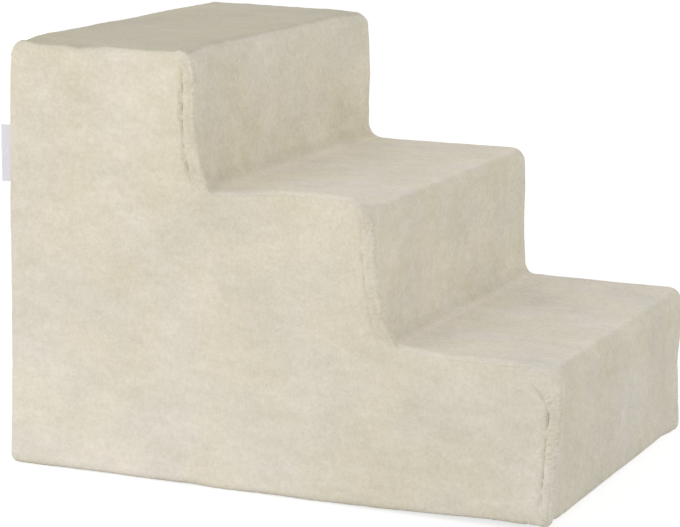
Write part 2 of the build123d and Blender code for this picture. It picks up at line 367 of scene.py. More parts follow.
# A square corner of the outline, how round it is and where its rounding's rows begin, and its seam's corner
Corner = namedtuple("Corner", "at radius trim seam_at seam_radius")


def outline_corners():
    """Each corner of the cover's outline, and of the seam that runs inside it on the side face."""
    edge = RIM + EDGE_JOG
    nose = RISER_MARGIN + NOSING_SEAM
    first_fold = max(FIRST_INNER, INNER_SEAM - RISER_MARGIN)
    second_fold = max(SECOND_INNER, INNER_SEAM - RISER_MARGIN)
    toe_y = FRONT + TOE_MARGIN
    second_y = SECOND_RISER + RISER_MARGIN
    third_y = THIRD_RISER + RISER_MARGIN
    first_z = FIRST_LEVEL - TREAD_MARGIN
    second_z = SECOND_LEVEL - TREAD_MARGIN
    top_z = TOP - TOP_MARGIN
    return [
        Corner((FRONT, 0), RIM, edge + EDGE_JOG, (toe_y, edge), EDGE_JOG),
        Corner((FRONT, FIRST_LEVEL), NOSING, TOE_MARGIN + TOE_SEAM, (toe_y, first_z), TOE_SEAM),
        Corner((SECOND_RISER, FIRST_LEVEL), FIRST_INNER, first_fold, (second_y, first_z), INNER_SEAM),
        Corner((SECOND_RISER, SECOND_LEVEL), NOSING, nose, (second_y, second_z), NOSING_SEAM),
        Corner((THIRD_RISER, SECOND_LEVEL), SECOND_INNER, second_fold, (third_y, second_z), INNER_SEAM),
        Corner((THIRD_RISER, TOP), NOSING, nose, (third_y, top_z), NOSING_SEAM),
        Corner((BACK, TOP), BACK_NOSING, BACK_NOSING + EDGE_JOG, (BACK - edge, top_z), BACK_SEAM),
    ]


def round_corner(corner, into, out_of, radius, trim, shares):
    """Points and outward normals from trim before a square corner to trim after it."""
    corner, into, out_of = np.array(corner), np.array(into), np.array(out_of)
    before = np.array([-into[1], into[0]])
    after = np.array([-out_of[1], out_of[0]])
    flat = trim - radius
    along = shares * (2 * flat + radius * math.pi / 2)
    angle = np.clip((along - flat) / radius, 0, math.pi / 2)[:, None]
    centre = corner - into * radius + out_of * radius
    points = centre - out_of * radius * np.cos(angle) + into * radius * np.sin(angle)
    points -= into * np.clip(flat - along, 0, None)[:, None]
    points += out_of * np.clip(along - flat - radius * math.pi / 2, 0, None)[:, None]
    return points, before * np.cos(angle) + after * np.sin(angle)


def outline_rows():
    """Rows round the stepped outline: the cover's outer point, its normal, and the seam's point beside it.

    They run from under the toe, over the steps and down the back.
    """
    corners = outline_corners()
    ends = [(FRONT + TOE_LAP, 0), (BACK, TOP - TOP_LAP)]
    seam_ends = [(FRONT + TOE_LAP, corners[0].seam_at[1]), (corners[-1].seam_at[0], TOP - TOP_LAP)]
    places = [np.array(p) for p in (ends[0], *[c.at for c in corners], ends[1])]
    steps = [b - a for a, b in zip(places, places[1:])]
    ways = [s / np.linalg.norm(s) for s in steps]
    points, normals, seams = [], [], []

    def straight(start, end, seam_start, seam_end, way):
        """Adds the rows of a straight stretch and its seam, up to just before its end."""
        spacing = RISER_ROW if abs(way[1]) > abs(way[0]) else TREAD_ROW
        count = max(2, math.ceil(np.linalg.norm(end - start) / spacing))
        share = (np.arange(count) / count)[:, None]
        points.append(start + (end - start) * share)
        normals.append(np.tile([-way[1], way[0]], (count, 1)))
        seams.append(seam_start + (seam_end - seam_start) * share)

    at, seam_at = places[0], np.array(seam_ends[0])
    for corner, into, out_of in zip(corners, ways, ways[1:]):
        begin = np.array(corner.at) - into * corner.trim
        seam_begin = np.array(corner.seam_at) - into * corner.seam_radius
        straight(at, begin, seam_at, seam_begin, into)
        length = 2 * (corner.trim - corner.radius) + corner.radius * math.pi / 2
        count = max(4, math.ceil(length / CORNER_ROW))
        shares = np.arange(count) / count
        p, n = round_corner(corner.at, into, out_of, corner.radius, corner.trim, shares)
        s, _ = round_corner(corner.seam_at, into, out_of, corner.seam_radius, corner.seam_radius, shares)
        points.append(p)
        normals.append(n)
        seams.append(s)
        at = np.array(corner.at) + out_of * corner.trim
        seam_at = np.array(corner.seam_at) + out_of * corner.seam_radius
    straight(at, places[-1], seam_at, np.array(seam_ends[1]), ways[-1])
    points.append(places[-1][None])
    normals.append(np.array([[-ways[-1][1], ways[-1][0]]]))
    seams.append(np.array([seam_ends[1]]))
    return np.concatenate(points), np.concatenate(normals), np.concatenate(seams)


def seam_strength(seam, normal):
    """How steep each row is, its share of a seam's full depth, and how far the seam wanders off its line.

    The seam is closed on the flats and uneven up the risers.
    """
    steep = np.clip(-normal[:, 0], 0, 1) ** 1.5
    by_height = np.interp(seam[:, 1] / MM, *np.transpose(SEAM_SHOWS))
    places = np.stack([0 * seam[:, 0], seam[:, 0], seam[:, 1]], 1)
    broken = np.clip(0.95 + 0.5 * drift(places, *SEAM_BREAKS), *SEAM_RANGE)
    wander = SEAM_WANDER * (drift(places, *LONG_WANDER) + 0.7 * drift(places, *SHORT_WANDER))
    return steep, steep * by_height * broken, wander


def seam_roll(away, wander, depth, roll):
    """Height over the panel at a distance from the seam: the stitched groove, and the roll beside it."""
    near = bell(away, wander, SEAM_HALF_GAP)
    return roll * np.exp(-away / ROLL_FADE) * (1 - near) - depth * near


def seam_lumps(away, along, points):
    """Two rows of small lumps along a seam, where each stitch draws the pile together."""
    phase = 2 * math.pi * along / LUMP_PITCH + 3 * drift(points, *STITCH_SHIFTS)
    strength = 1 + 0.8 * drift(points, *LUMP_SHARES)
    tuft = drift(points, *SMALL_TUFTS) + 0.6 * drift(points, *LARGE_TUFTS)
    near = bell(away, *NEAR_LUMPS) * (0.55 * np.cos(phase) + tuft)
    far = bell(away, *FAR_LUMPS) * (0.35 * np.cos(phase + 2.6) + 0.8 * tuft)
    return LUMP_HEIGHT * (strength * (near + far) - 0.8 * bell(away, *LUMP_GAP))


def nosing_crease(points, steep):
    """The soft crease across the second riser, where the strip is slack under its nosing."""
    x, z = points[..., 0], points[..., 2]
    line = SECOND_LEVEL - CREASE_DROP + CREASE_SLOPE * x
    reach = smooth(*CREASE_START, x) * (1 - smooth(*CREASE_END, x))
    return CREASE_DEPTH * steep * reach * bell(z, line, CREASE_WIDTH)


def softness(points):
    """Small swells of cloth over foam, the same at a place whichever panel it is on."""
    return sum(height * drift(points, size, seed) for height, size, seed in SWELLS)


def link(name, data):
    """Puts a mesh, a lamp or a camera in the scene as an object."""
    made = bpy.data.objects.new(name, data)
    bpy.context.scene.collection.objects.link(made)
    return made


def make_mesh(name, points, faces, flat_cut=None, smooth_faces=True):
    """A mesh object from points and faces, with its place on the flat cut as UV."""
    mesh = bpy.data.meshes.new(name)
    mesh.from_pydata(np.asarray(points, float).tolist(), [], [[int(i) for i in face] for face in faces])
    mesh.update()
    mesh.polygons.foreach_set("use_smooth", [smooth_faces] * len(mesh.polygons))
    if flat_cut is not None:
        corners = np.zeros(len(mesh.loops), int)
        mesh.loops.foreach_get("vertex_index", corners)
        layer = mesh.uv_layers.new(name="cut")
        layer.data.foreach_set("uv", np.asarray(flat_cut, np.float32)[corners].reshape(-1))
    return link(name, mesh)


def grid_faces(rows, columns):
    """Quads of a grid of points numbered row by row, facing out where rows run left of columns."""
    first = (np.arange(rows - 1)[:, None] * columns + np.arange(columns - 1)[None]).reshape(-1)
    return np.stack([first, first + 1, first + columns + 1, first + columns], 1)


def grid_border(rows, columns):
    """The border points of such a grid, in order round it."""
    index = np.arange(rows * columns).reshape(rows, columns)
    return np.concatenate([index[0, :-1], index[:-1, -1], index[-1, :0:-1], index[:0:-1, 0]])


def hemmed(name, points, normals, faces, border, flat_cut):
    """A panel with its hem turned in at the border, so that its edge shows cloth and no slit.

    Nothing of it sinks below the ground.
    """
    inner = points[border] - normals[border] * HEM_DEPTH
    start = len(points)
    ring = np.arange(len(border))
    after = (ring + 1) % len(border)
    hem = np.stack([border, start + ring, start + after, border[after]], 1)
    points = np.concatenate([points, inner])
    points[:, 2] = np.maximum(points[:, 2], 0)
    flat_cut = np.concatenate([flat_cut, flat_cut[border]])
    made = make_mesh(name, points, [*faces, *hem], flat_cut)
    folded = set(map(tuple, np.sort(np.stack([border, border[after]], 1), axis=1).tolist()))
    edges = np.zeros(2 * len(made.data.edges), np.int32)
    made.data.edges.foreach_get("vertices", edges)
    sharp = [tuple(pair) in folded for pair in np.sort(edges.reshape(-1, 2), axis=1).tolist()]
    made.data.edges.foreach_set("use_edge_sharp", sharp)
    return made


def hemmed_grid(name, points, normals, flat_cut, turned_over=False):
    """A hemmed panel from a grid of points; turned_over is for rows that run right of its columns."""
    rows, columns = points.shape[:2]
    way = -1 if turned_over else 1
    faces = grid_faces(rows, columns)[:, ::way]
    border = grid_border(rows, columns)[::way]
    return hemmed(name, points.reshape(-1, 3), normals.reshape(-1, 3), faces, border, flat_cut.reshape(-1, 2))


def grid_normals(points):
    """Unit normals of a grid of points, from its rows and columns."""
    across = np.gradient(points, axis=1)
    along = np.gradient(points, axis=0)
    out = np.cross(across, along)
    return out / np.linalg.norm(out, axis=-1, keepdims=True)


def strip_columns():
    """Columns across the step panel: the side's sign, X where the flat ends, and the angle round the rim."""
    half = HALF_WIDTH - RIM
    fine = np.linspace(0, math.pi / 2, RIM_STEPS)
    bend = np.stack([np.sin(fine) ** RIM_SQUARENESS, 1 - np.cos(fine) ** RIM_SQUARENESS], 1)
    length = run_lengths(bend)
    angle = np.interp(np.arange(1, RIM_COLUMNS + 1) / RIM_COLUMNS * length[-1], length, fine)
    share = np.linspace(-1, 1, 2 * HALF_COLUMNS + 1)
    inward = 1 - np.abs(share)
    xs = half * np.sign(share) * (1 - NEAR_COLUMN * inward - (1 - NEAR_COLUMN) * inward**3)
    sign = np.concatenate([-np.ones(len(angle)), np.sign(xs), np.ones(len(angle))])
    x = np.concatenate([np.full(len(angle), -half), xs, np.full(len(angle), half)])
    turned = np.concatenate([angle[::-1], np.zeros(len(xs)), angle])
    return sign, x, turned


def strip_surface(at, normal, seam, steep, sign, x, turned):
    """The step panel's points before its relief: pulled, proud at each side, and turned down to the seams."""
    rows, columns = len(at), len(x)
    levels = np.array([FIRST_LEVEL, SECOND_LEVEL, TOP])
    under = levels[np.searchsorted(levels[:2], at[:, 1])] - at[:, 1]
    standing_out = (steep * smooth(0, PROUD_START, under))[:, None, None] * normal[:, None]
    flat = np.broadcast_to(at[:, None], (rows, columns, 2))
    yz = pulled_across(np.broadcast_to(x, (rows, columns)), flat)
    hidden = np.clip(np.maximum(normal[:, 0], -normal[:, 1]), 0, 1)[:, None]
    squareness = RIM_SQUARENESS + (1 - RIM_SQUARENESS) * hidden
    share = 1 - np.cos(turned) ** squareness
    for side, pulls, proud in ((-1, LEFT_PULLS, LEFT_PROUD), (1, RIGHT_PULLS, RIGHT_PROUD)):
        inward = np.clip(HALF_WIDTH - RIM - side * x, 0, None)
        standing = (1 - smooth(0, PROUD_FADE, inward)) * (1 - share) * (side * x > 0)
        yz += proud * standing_out * standing[..., None]
        rim = (pulled(seam, pulls) - pulled(at, pulls))[:, None] * share[..., None]
        yz += rim * (np.sign(x) == side)[None, :, None]
    across = x + sign * RIM * np.sin(turned) ** squareness
    return np.concatenate([across[..., None], yz], -1)


def strip_relief(points, normal, seam_rows, away, along, turned):
    """How far the step panel's cloth stands off its surface, by the distances off and along its seams."""
    steep, strength, wander = (values[:, None] for values in seam_rows)
    lumpy = 1 + 0.4 * drift(points, *STRIP_ROLLS)
    height = seam_roll(away, wander, SEAM_DEPTH * strength, EDGE_ROLL * lumpy * steep)
    lumps = seam_lumps(away, along, points) * steep
    level = np.clip(normal[:, 1], 0, 1)[:, None] ** 4
    uneven = 0.9 + 0.5 * drift(points, *LONG_LIPS) + 0.3 * drift(points, *SHORT_LIPS)
    uneven = np.clip(uneven, *LIP_RANGE)
    lumps += TREAD_LIP * level * uneven * bell(away, LIP_AT, LIP_WIDTH)
    height = height + lumps * np.where(points[..., 0] > 0, RIGHT_LUMPS, 1) - nosing_crease(points, steep)
    to_end = np.minimum(along, along[-1] - along)
    height = height - END_DEPTH * np.cos(turned) ** 8 * bell(to_end, 0, SEAM_HALF_GAP)
    return height + softness(points)


def step_panel():
    """The long strip of plush over all treads and risers, turned down at each side to its seam."""
    at, normal, seam = outline_rows()
    sign, x, turned = strip_columns()
    seam_rows = seam_strength(seam, normal)
    points = strip_surface(at, normal, seam, seam_rows[0], sign, x, turned)
    out = grid_normals(points)
    steps = np.linalg.norm(np.diff(points, axis=1), axis=-1)
    from_left = np.concatenate([np.zeros((len(at), 1)), np.cumsum(steps, axis=1)], 1)
    away = np.minimum(from_left, from_left[:, -1:] - from_left)
    along = run_lengths(at)[:, None]
    points = points + out * strip_relief(points, normal, seam_rows, away, along, turned)[..., None]
    flat_cut = np.stack([from_left - from_left[:, -1:] / 2, np.broadcast_to(along, away.shape)], -1)
    made = hemmed_grid("step_panel_plush", points, out, flat_cut)
    return made, (float(from_left[:, -1].mean()), float(along[-1, 0]))


def side_pattern():
    """Border of the side panel's flat pattern in (Y, Z), and how many of its points lie on the seam."""
    _, _, seam = outline_rows()
    wrap = RIM * math.pi / 2 + SIDE_WRAP - RIM
    right = BACK - RIM + wrap
    low = RIM - wrap
    turns = np.linspace(0, -math.pi / 2, HEEL_TURNS)
    arc = np.stack([BACK - RIM + wrap * np.cos(turns), RIM + wrap * np.sin(turns)], 1)

    def run(a, b):
        """Evenly spaced points from a up to just before b."""
        count = max(2, math.ceil(math.dist(a, b) / COARSE))
        return np.array(a) + (np.array(b) - np.array(a)) * (np.arange(count) / count)[:, None]

    legs = [
        seam,
        run((seam[-1, 0] + EDGE_JOG, seam[-1, 1]), (right, seam[-1, 1])),
        run((right, seam[-1, 1]), (right, RIM)),
        arc[:-1],
        run((BACK - RIM, low), (seam[0, 0], low)),
        run((seam[0, 0], low), (seam[0, 0], seam[0, 1] - EDGE_JOG)),
    ]
    return np.concatenate(legs), len(seam)


def inside(points, border):
    """Which points lie inside a closed border."""
    found = np.zeros(len(points), bool)
    for (ay, az), (by, bz) in zip(border, np.roll(border, -1, axis=0)):
        if az == bz:
            continue
        crosses = (points[:, 1] < az) != (points[:, 1] < bz)
        found ^= crosses & (points[:, 0] < ay + (points[:, 1] - az) * (by - ay) / (bz - az))
    return found


def nearest(points, line, batch=40):
    """Distance from each point to the nearest of a line of points, and that point's number.

    The line is gone through in batches, so that the table of gaps stays small.
    """
    best = np.full(len(points), np.inf)
    which = np.zeros(len(points), int)
    for start in range(0, len(line), batch):
        gaps = np.linalg.norm(points[:, None] - line[None, start : start + batch], axis=-1)
        closest = gaps.argmin(1)
        gap = gaps[np.arange(len(points)), closest]
        closer = gap < best
        best[closer] = gap[closer]
        which[closer] = closest[closer] + start
    return best, which


def pattern_mesh(border, on_seam):
    """Triangles that fill a flat pattern: its points, its faces and the numbers of its border points.

    A ring of points follows the seam closely, so that its groove has sides.
    """
    low, high = border.min(0), border.max(0)
    ys = np.arange(low[0], high[0], COARSE)
    zs = np.arange(low[1], high[1], COARSE * math.sqrt(3) / 2)
    grid = np.stack(np.meshgrid(ys, zs), -1)
    grid[1::2, :, 0] += COARSE / 2
    grid = grid.reshape(-1, 2)
    grid = grid[inside(grid, border)]
    way = np.gradient(border[:on_seam], axis=0)
    way /= np.linalg.norm(way, axis=1, keepdims=True)
    ring = (border[:on_seam] + SEAM_RING * np.stack([way[:, 1], -way[:, 0]], 1))[1:-1:2]
    ring = ring[inside(ring, border)]
    gap, _ = nearest(ring, border)
    ring = ring[gap > RING_ROOM]
    gap, _ = nearest(grid, np.concatenate([border, ring]))
    grid = grid[gap > GRID_ROOM]
    points = np.concatenate([border, ring, grid])
    made = delaunay_2d_cdt([Vector(p) for p in points], [], [list(range(len(border)))], 1, MERGE_WITHIN)
    points = np.array([tuple(v) for v in made[0]])
    moved_to = {old[0]: new for new, old in enumerate(made[3]) if old}
    return points, np.array(made[2]), np.array([moved_to[i] for i in range(len(border))])


def side_panel(name, sign, border, on_seam, pattern):
    """One stair-shaped side: flat inside its seam, and wrapped round the back and the underside.

    The wrap lies flat at the zip's height, where the pull swings past it.
    """
    flat, faces, border_ids = pattern
    _, normal, seam = outline_rows()
    steep, strength, wander = seam_strength(seam, normal)
    core = np.stack([np.minimum(flat[:, 0], BACK - RIM), np.maximum(flat[:, 1], RIM)], 1)
    beyond = flat - core
    far = np.linalg.norm(beyond, axis=1)
    way = beyond / np.maximum(far, 1e-9)[:, None]
    angle = np.minimum(far / RIM, math.pi / 2)
    straight = np.maximum(far - RIM * math.pi / 2, 0)
    yz = pulled(core + way * (RIM * np.sin(angle))[:, None], LEFT_PULLS if sign < 0 else RIGHT_PULLS)
    depth = HALF_WIDTH - RIM * (1 - np.cos(angle)) - straight
    points = np.concatenate([(sign * depth)[:, None], yz], 1)
    out = np.concatenate([(sign * np.cos(angle))[:, None], way * np.sin(angle)[:, None]], 1)
    away, beside = nearest(flat, border[:on_seam])
    to_edge, _ = nearest(flat, border[on_seam:])
    roll = SIDE_ROLL * (1 + 0.4 * drift(points, *SIDE_ROLLS)) * steep[beside]
    height = seam_roll(away, -wander[beside], SEAM_DEPTH * strength[beside], roll)
    height = height - END_DEPTH * smooth(0, END_FADE, away) * bell(to_edge, 0, SEAM_HALF_GAP)
    points = points + out * (height + softness(points))[:, None]
    clear = BACK - PULL_ROOM + WRAP_SWELL * smooth(*PULL_PATH, np.abs(points[:, 2] - ZIP_HEIGHT))
    points[:, 1] = np.minimum(points[:, 1], clear)
    if sign < 0:
        faces = faces[:, ::-1]
    else:
        border_ids = border_ids[::-1]
    return hemmed(name, points, out, faces, border_ids, flat)


def back_panel(name, top, bottom=None):
    """A back panel: from its top seam down to the zip or, with no bottom, from the zip round the heel."""
    lower = bottom is None
    drop = top - RIM if lower else top - bottom
    length = drop + RIM * math.pi / 2 + HEEL_LAP - RIM if lower else drop
    xs = np.linspace(-SEAM_HALF, SEAM_HALF, math.ceil(2 * SEAM_HALF / COARSE) + 1)
    down = np.linspace(0, length, math.ceil(length / COARSE) + 1)
    turn = np.clip((down - drop) / RIM, 0, math.pi / 2)
    under = np.clip(down - drop - RIM * math.pi / 2, 0, None)
    y = BACK - RIM * (1 - np.cos(turn)) - under
    z = np.where(down <= drop, top - down, RIM * (1 - np.sin(turn)))
    grid = len(down), len(xs)
    across = np.broadcast_to(xs, grid)
    yz = pulled_across(across, np.broadcast_to(np.stack([y, z], 1)[:, None], (*grid, 2)))
    points = np.concatenate([across[..., None], yz], -1)
    out = np.broadcast_to(np.stack([0 * turn, np.cos(turn), -np.sin(turn)], 1)[:, None], (*grid, 3))
    from_top, from_bottom = down[:, None], (length - down)[:, None]
    to_zip, to_seam = (from_top, from_bottom) if lower else (from_bottom, from_top)
    height = -END_DEPTH * (bell(SEAM_HALF - np.abs(xs), 0, SEAM_HALF_GAP) + bell(to_seam, 0, SEAM_HALF_GAP))
    height = height - ZIP_EDGE_DEPTH * bell(to_zip, 0, ZIP_EDGE_WIDTH)
    height = height - TOPSTITCH_DEPTH * bell(to_zip, TOPSTITCH, TOPSTITCH_WIDTH)
    points = points + out * (height + softness(points))[..., None]
    flat_cut = np.stack([across, np.broadcast_to(-from_top, grid)], -1)
    return hemmed_grid(name, points, out, flat_cut, turned_over=True)


def base_panel():
    """The non-slip cloth under the stairs."""
    xs = np.linspace(-SEAM_HALF, SEAM_HALF, math.ceil(2 * SEAM_HALF / BASE_SPACING) + 1)
    length = base_high[1] - base_low[1]
    ys = np.linspace(base_low[1], base_high[1], math.ceil(length / BASE_SPACING) + 1)
    across, along = np.meshgrid(xs, ys)
    yz = pulled_across(across, np.stack([along, np.full(along.shape, BASE_CLOTH)], -1))
    points = np.concatenate([across[..., None], yz], -1)
    out = np.broadcast_to([0.0, 0.0, -1.0], points.shape)
    return hemmed_grid("base_cloth", points, out, points[..., :2], turned_over=True)


def linear(hex_colour):
    """An sRGB hex colour as linear RGB with alpha."""
    parts = [int(hex_colour[i : i + 2], 16) / 255 for i in (0, 2, 4)]
    return (*[p / 12.92 if p <= 0.04045 else ((p + 0.055) / 1.055) ** 2.4 for p in parts], 1.0)


def set_inputs(tree, node, inputs):
    """Sets a node's inputs, by name or number, each to a value or to a link from another node's socket."""
    for key, value in inputs.items():
        if isinstance(value, bpy.types.NodeSocket):
            tree.links.new(value, node.inputs[key])
        else:
            node.inputs[key].default_value = value


def add_node(tree, kind, inputs=None, **settings):
    """Adds a node with its settings and its inputs."""
    node = tree.nodes.new(kind)
    for key, value in settings.items():
        setattr(node, key, value)
    set_inputs(tree, node, inputs or {})
    return node


def cleared_tree(owner):
    """The emptied node tree of a material or a world."""
    owner.use_nodes = True
    owner.node_tree.nodes.clear()
    return owner.node_tree


def geometry_nodes(name, sockets):
    """A geometry node tree with the named inputs, those inputs' sockets, and its output node."""
    tree = bpy.data.node_groups.new(name, "GeometryNodeTree")
    tree.interface.new_socket("Geometry", in_out="OUTPUT", socket_type="NodeSocketGeometry")
    tree.interface.new_socket("Geometry", in_out="INPUT", socket_type="NodeSocketGeometry")
    for label, kind in sockets.items():
        tree.interface.new_socket(label, in_out="INPUT", socket_type=kind)
    return tree, tree.nodes.new("NodeGroupInput").outputs, tree.nodes.new("NodeGroupOutput")


def run_nodes(piece, tree, values):
    """Runs a geometry node tree on a piece and keeps the result as its plain mesh."""
    modifier = piece.modifiers.new(tree.name, "NODES")
    modifier.node_group = tree
    for item in tree.interface.items_tree:
        if item.item_type == "SOCKET" and item.in_out == "INPUT" and item.name in values:
            modifier[item.identifier] = values[item.name]
    graph = bpy.context.evaluated_depsgraph_get()
    made = bpy.data.meshes.new_from_object(piece.evaluated_get(graph), depsgraph=graph)
    piece.modifiers.clear()
    old = piece.data
    piece.data = made
    bpy.data.meshes.remove(old)
    return piece


def repeated_shape(tree, given, kept, points):
    """Ends a tree: the given shape at each of the points, made real and given its material."""
    shape = add_node(tree, "GeometryNodeObjectInfo", {"Object": given["Shape"]})
    inputs = {"Points": points, "Instance": shape.outputs["Geometry"]}
    placed = add_node(tree, "GeometryNodeInstanceOnPoints", inputs)
    real = add_node(tree, "GeometryNodeRealizeInstances", {"Geometry": placed.outputs[0]})
    inputs = {"Geometry": real.outputs[0], "Material": given["Finish"]}
    made = add_node(tree, "GeometryNodeSetMaterial", inputs)
    tree.links.new(made.outputs[0], kept.inputs["Geometry"])
    return tree


def row_nodes():
    """Repeats a shape along a line: a row of stitches or zip teeth."""
    sockets = {
        "Shape": "NodeSocketObject",
        "Count": "NodeSocketInt",
        "Start": "NodeSocketVector",
        "Step": "NodeSocketVector",
        "Finish": "NodeSocketMaterial",
    }
    tree, given, kept = geometry_nodes("row", sockets)
    inputs = {"Count": given["Count"], "Start Location": given["Start"], "Offset": given["Step"]}
    line = add_node(tree, "GeometryNodeMeshLine", inputs, mode="OFFSET")
    return repeated_shape(tree, given, kept, line.outputs[0])


def repeat_row(name, tree, shape, count, start, step, finish):
    """A row of one shape, as one piece."""
    piece = make_mesh(name, [(0, 0, 0)], [])
    values = {"Shape": shape, "Count": count, "Start": start, "Step": step, "Finish": finish}
    return run_nodes(piece, tree, values)


def dot_nodes():
    """Repeats a shape over a flat grid: the non-slip dots."""
    sockets = {
        "Shape": "NodeSocketObject",
        "Width": "NodeSocketFloat",
        "Length": "NodeSocketFloat",
        "Across": "NodeSocketInt",
        "Along": "NodeSocketInt",
        "Finish": "NodeSocketMaterial",
    }
    tree, given, kept = geometry_nodes("dots", sockets)
    inputs = {
        "Size X": given["Width"],
        "Size Y": given["Length"],
        "Vertices X": given["Across"],
        "Vertices Y": given["Along"],
    }
    grid = add_node(tree, "GeometryNodeMeshGrid", inputs)
    return repeated_shape(tree, given, kept, grid.outputs["Mesh"])


def new_material(name):
    """An empty material, its tree, its shader and its Object coordinates."""
    made = bpy.data.materials.new(name)
    tree = cleared_tree(made)
    shader = add_node(tree, "ShaderNodeBsdfPrincipled")
    add_node(tree, "ShaderNodeOutputMaterial", {"Surface": shader.outputs["BSDF"]})
    place = add_node(tree, "ShaderNodeTexCoord").outputs["Object"]
    return made, tree, shader, place


# Colours of the pile, from brushed against to brushed along; the tone between them also carries painted light
# and painted shade
PLUSH_DARK = "D5CFBB"
PLUSH_LIGHT = "EEE7D9"
PLUSH_SHEEN = "F3EEE2"

# The plush's patterns: their size in mm, the same all ways or along X, Y and Z, their detail and their
# roughness. Single fibres are far too fine to show, so the grain is drawn as coarse as tufts of them.
PLUSH_PATTERNS = {
    "cloud": (76.9, 2, 0.5),
    "brushing": ((16.7, 29.4, 11.1), 3, 0.6),
    "mottle": (6.67, 2, 0.5),
    "stroke": (4.17, 2, 0.5),
    "hue": (58.8, 1, 0.5),
    "pressing": (23.8, 2, 0.5),
    "tufts": (2.63, 3, 0.75),
}

# What makes the pile's tone, from its dark colour to its light one, and each thing's weight in it; two of
# them are painted light, on the level faces and low on the sides
STROKE_WEIGHT = 0.6
TONE_START = -0.5
TONE_WEIGHTS = {
    "cloud": 1,
    "brushing": 0.9,
    "mottle": 0.5,
    # Painted light on the treads and the top, with the treads' nap also brushed towards the front
    "level": 0.58,
    # Painted light on the sides, low down and towards the back
    "painted light low on side": 1,
    "first riser": -0.12,
    "strokes": STROKE_WEIGHT,
    "not side": -STROKE_WEIGHT / 2,
}

# Tints of the pile, each by its own share: painted warm light on the sides, random warm, cool and grain
# tints, a bluer tint low down, and painted shade under the nosings, at the top riser's foot, in the inner
# folds and on the top step
PILE_TINTS = {
    # Painted warm light on the sides
    "side": "FEFDFB",
    "warm": "FFFFFA",
    "cool": "FEFEFE",
    "low": "FBFCFF",
    # Painted shade under the nosings and at the top riser's foot, in uneven patches
    "olive shade": "F8F8F3",
    # Painted shade in the inner folds
    "fold": "F9F8F6",
    # Painted shade on the top step, whose nap is also brushed back
    "top step shade": "DEDDD5",
    "grain": "F5F4F2",
}

# Painted greenish shade up the risers, under the nosings and at the foot of the top riser: heights in mm,
# each with its share
OLIVE_SHADE_SHOWS = [(0, 0), (60, 0), (96, 0.4), (118, 0.5), (121, 0), (170, 0), (205, 0.5), (229, 0.6)]
OLIVE_SHADE_SHOWS += [(231, 0.9), (268, 0.9), (292, 0.15), (340, 0)]

# Painted shade darkens the inner folds, which lie behind the slope through the nosings: Y less this share of
# Z, over these limits
NOSING_SLOPE = (BACK - FRONT) / TOP
BEHIND_NOSINGS = -350 * MM, -310 * MM

# Curls and clumps of the pile
CLUMP = 2.38 * MM
CURL = 1.43 * MM
PILE_HEIGHT = 0.9 * MM

# Pores and clouds of the foam, and worn patches of a woven cloth
FOAM_LIGHT = "EFE6C4"
FOAM_DARK = "DCCFA4"
FOAM_PORE = 1.11 * MM
FOAM_CLOUD = 40 * MM
PORE_DEPTH = 0.4 * MM
WEAR_PATCH = 16.7 * MM


def share_by_height(tree, height, shows):
    """A share read off heights in mm, each with its share, from the ground up."""
    reach = shows[-1][0]
    part = add_node(tree, "ShaderNodeMath", {0: height, 1: 1 / (reach * MM)}, operation="MULTIPLY")
    table = add_node(tree, "ShaderNodeValToRGB", {"Fac": part.outputs[0]})
    stops = table.color_ramp.elements
    stops.remove(stops[1])
    for at, share in shows:
        stop = stops.new(at / reach) if at else stops[0]
        stop.color = (share, share, share, 1)
    return table.outputs["Color"]


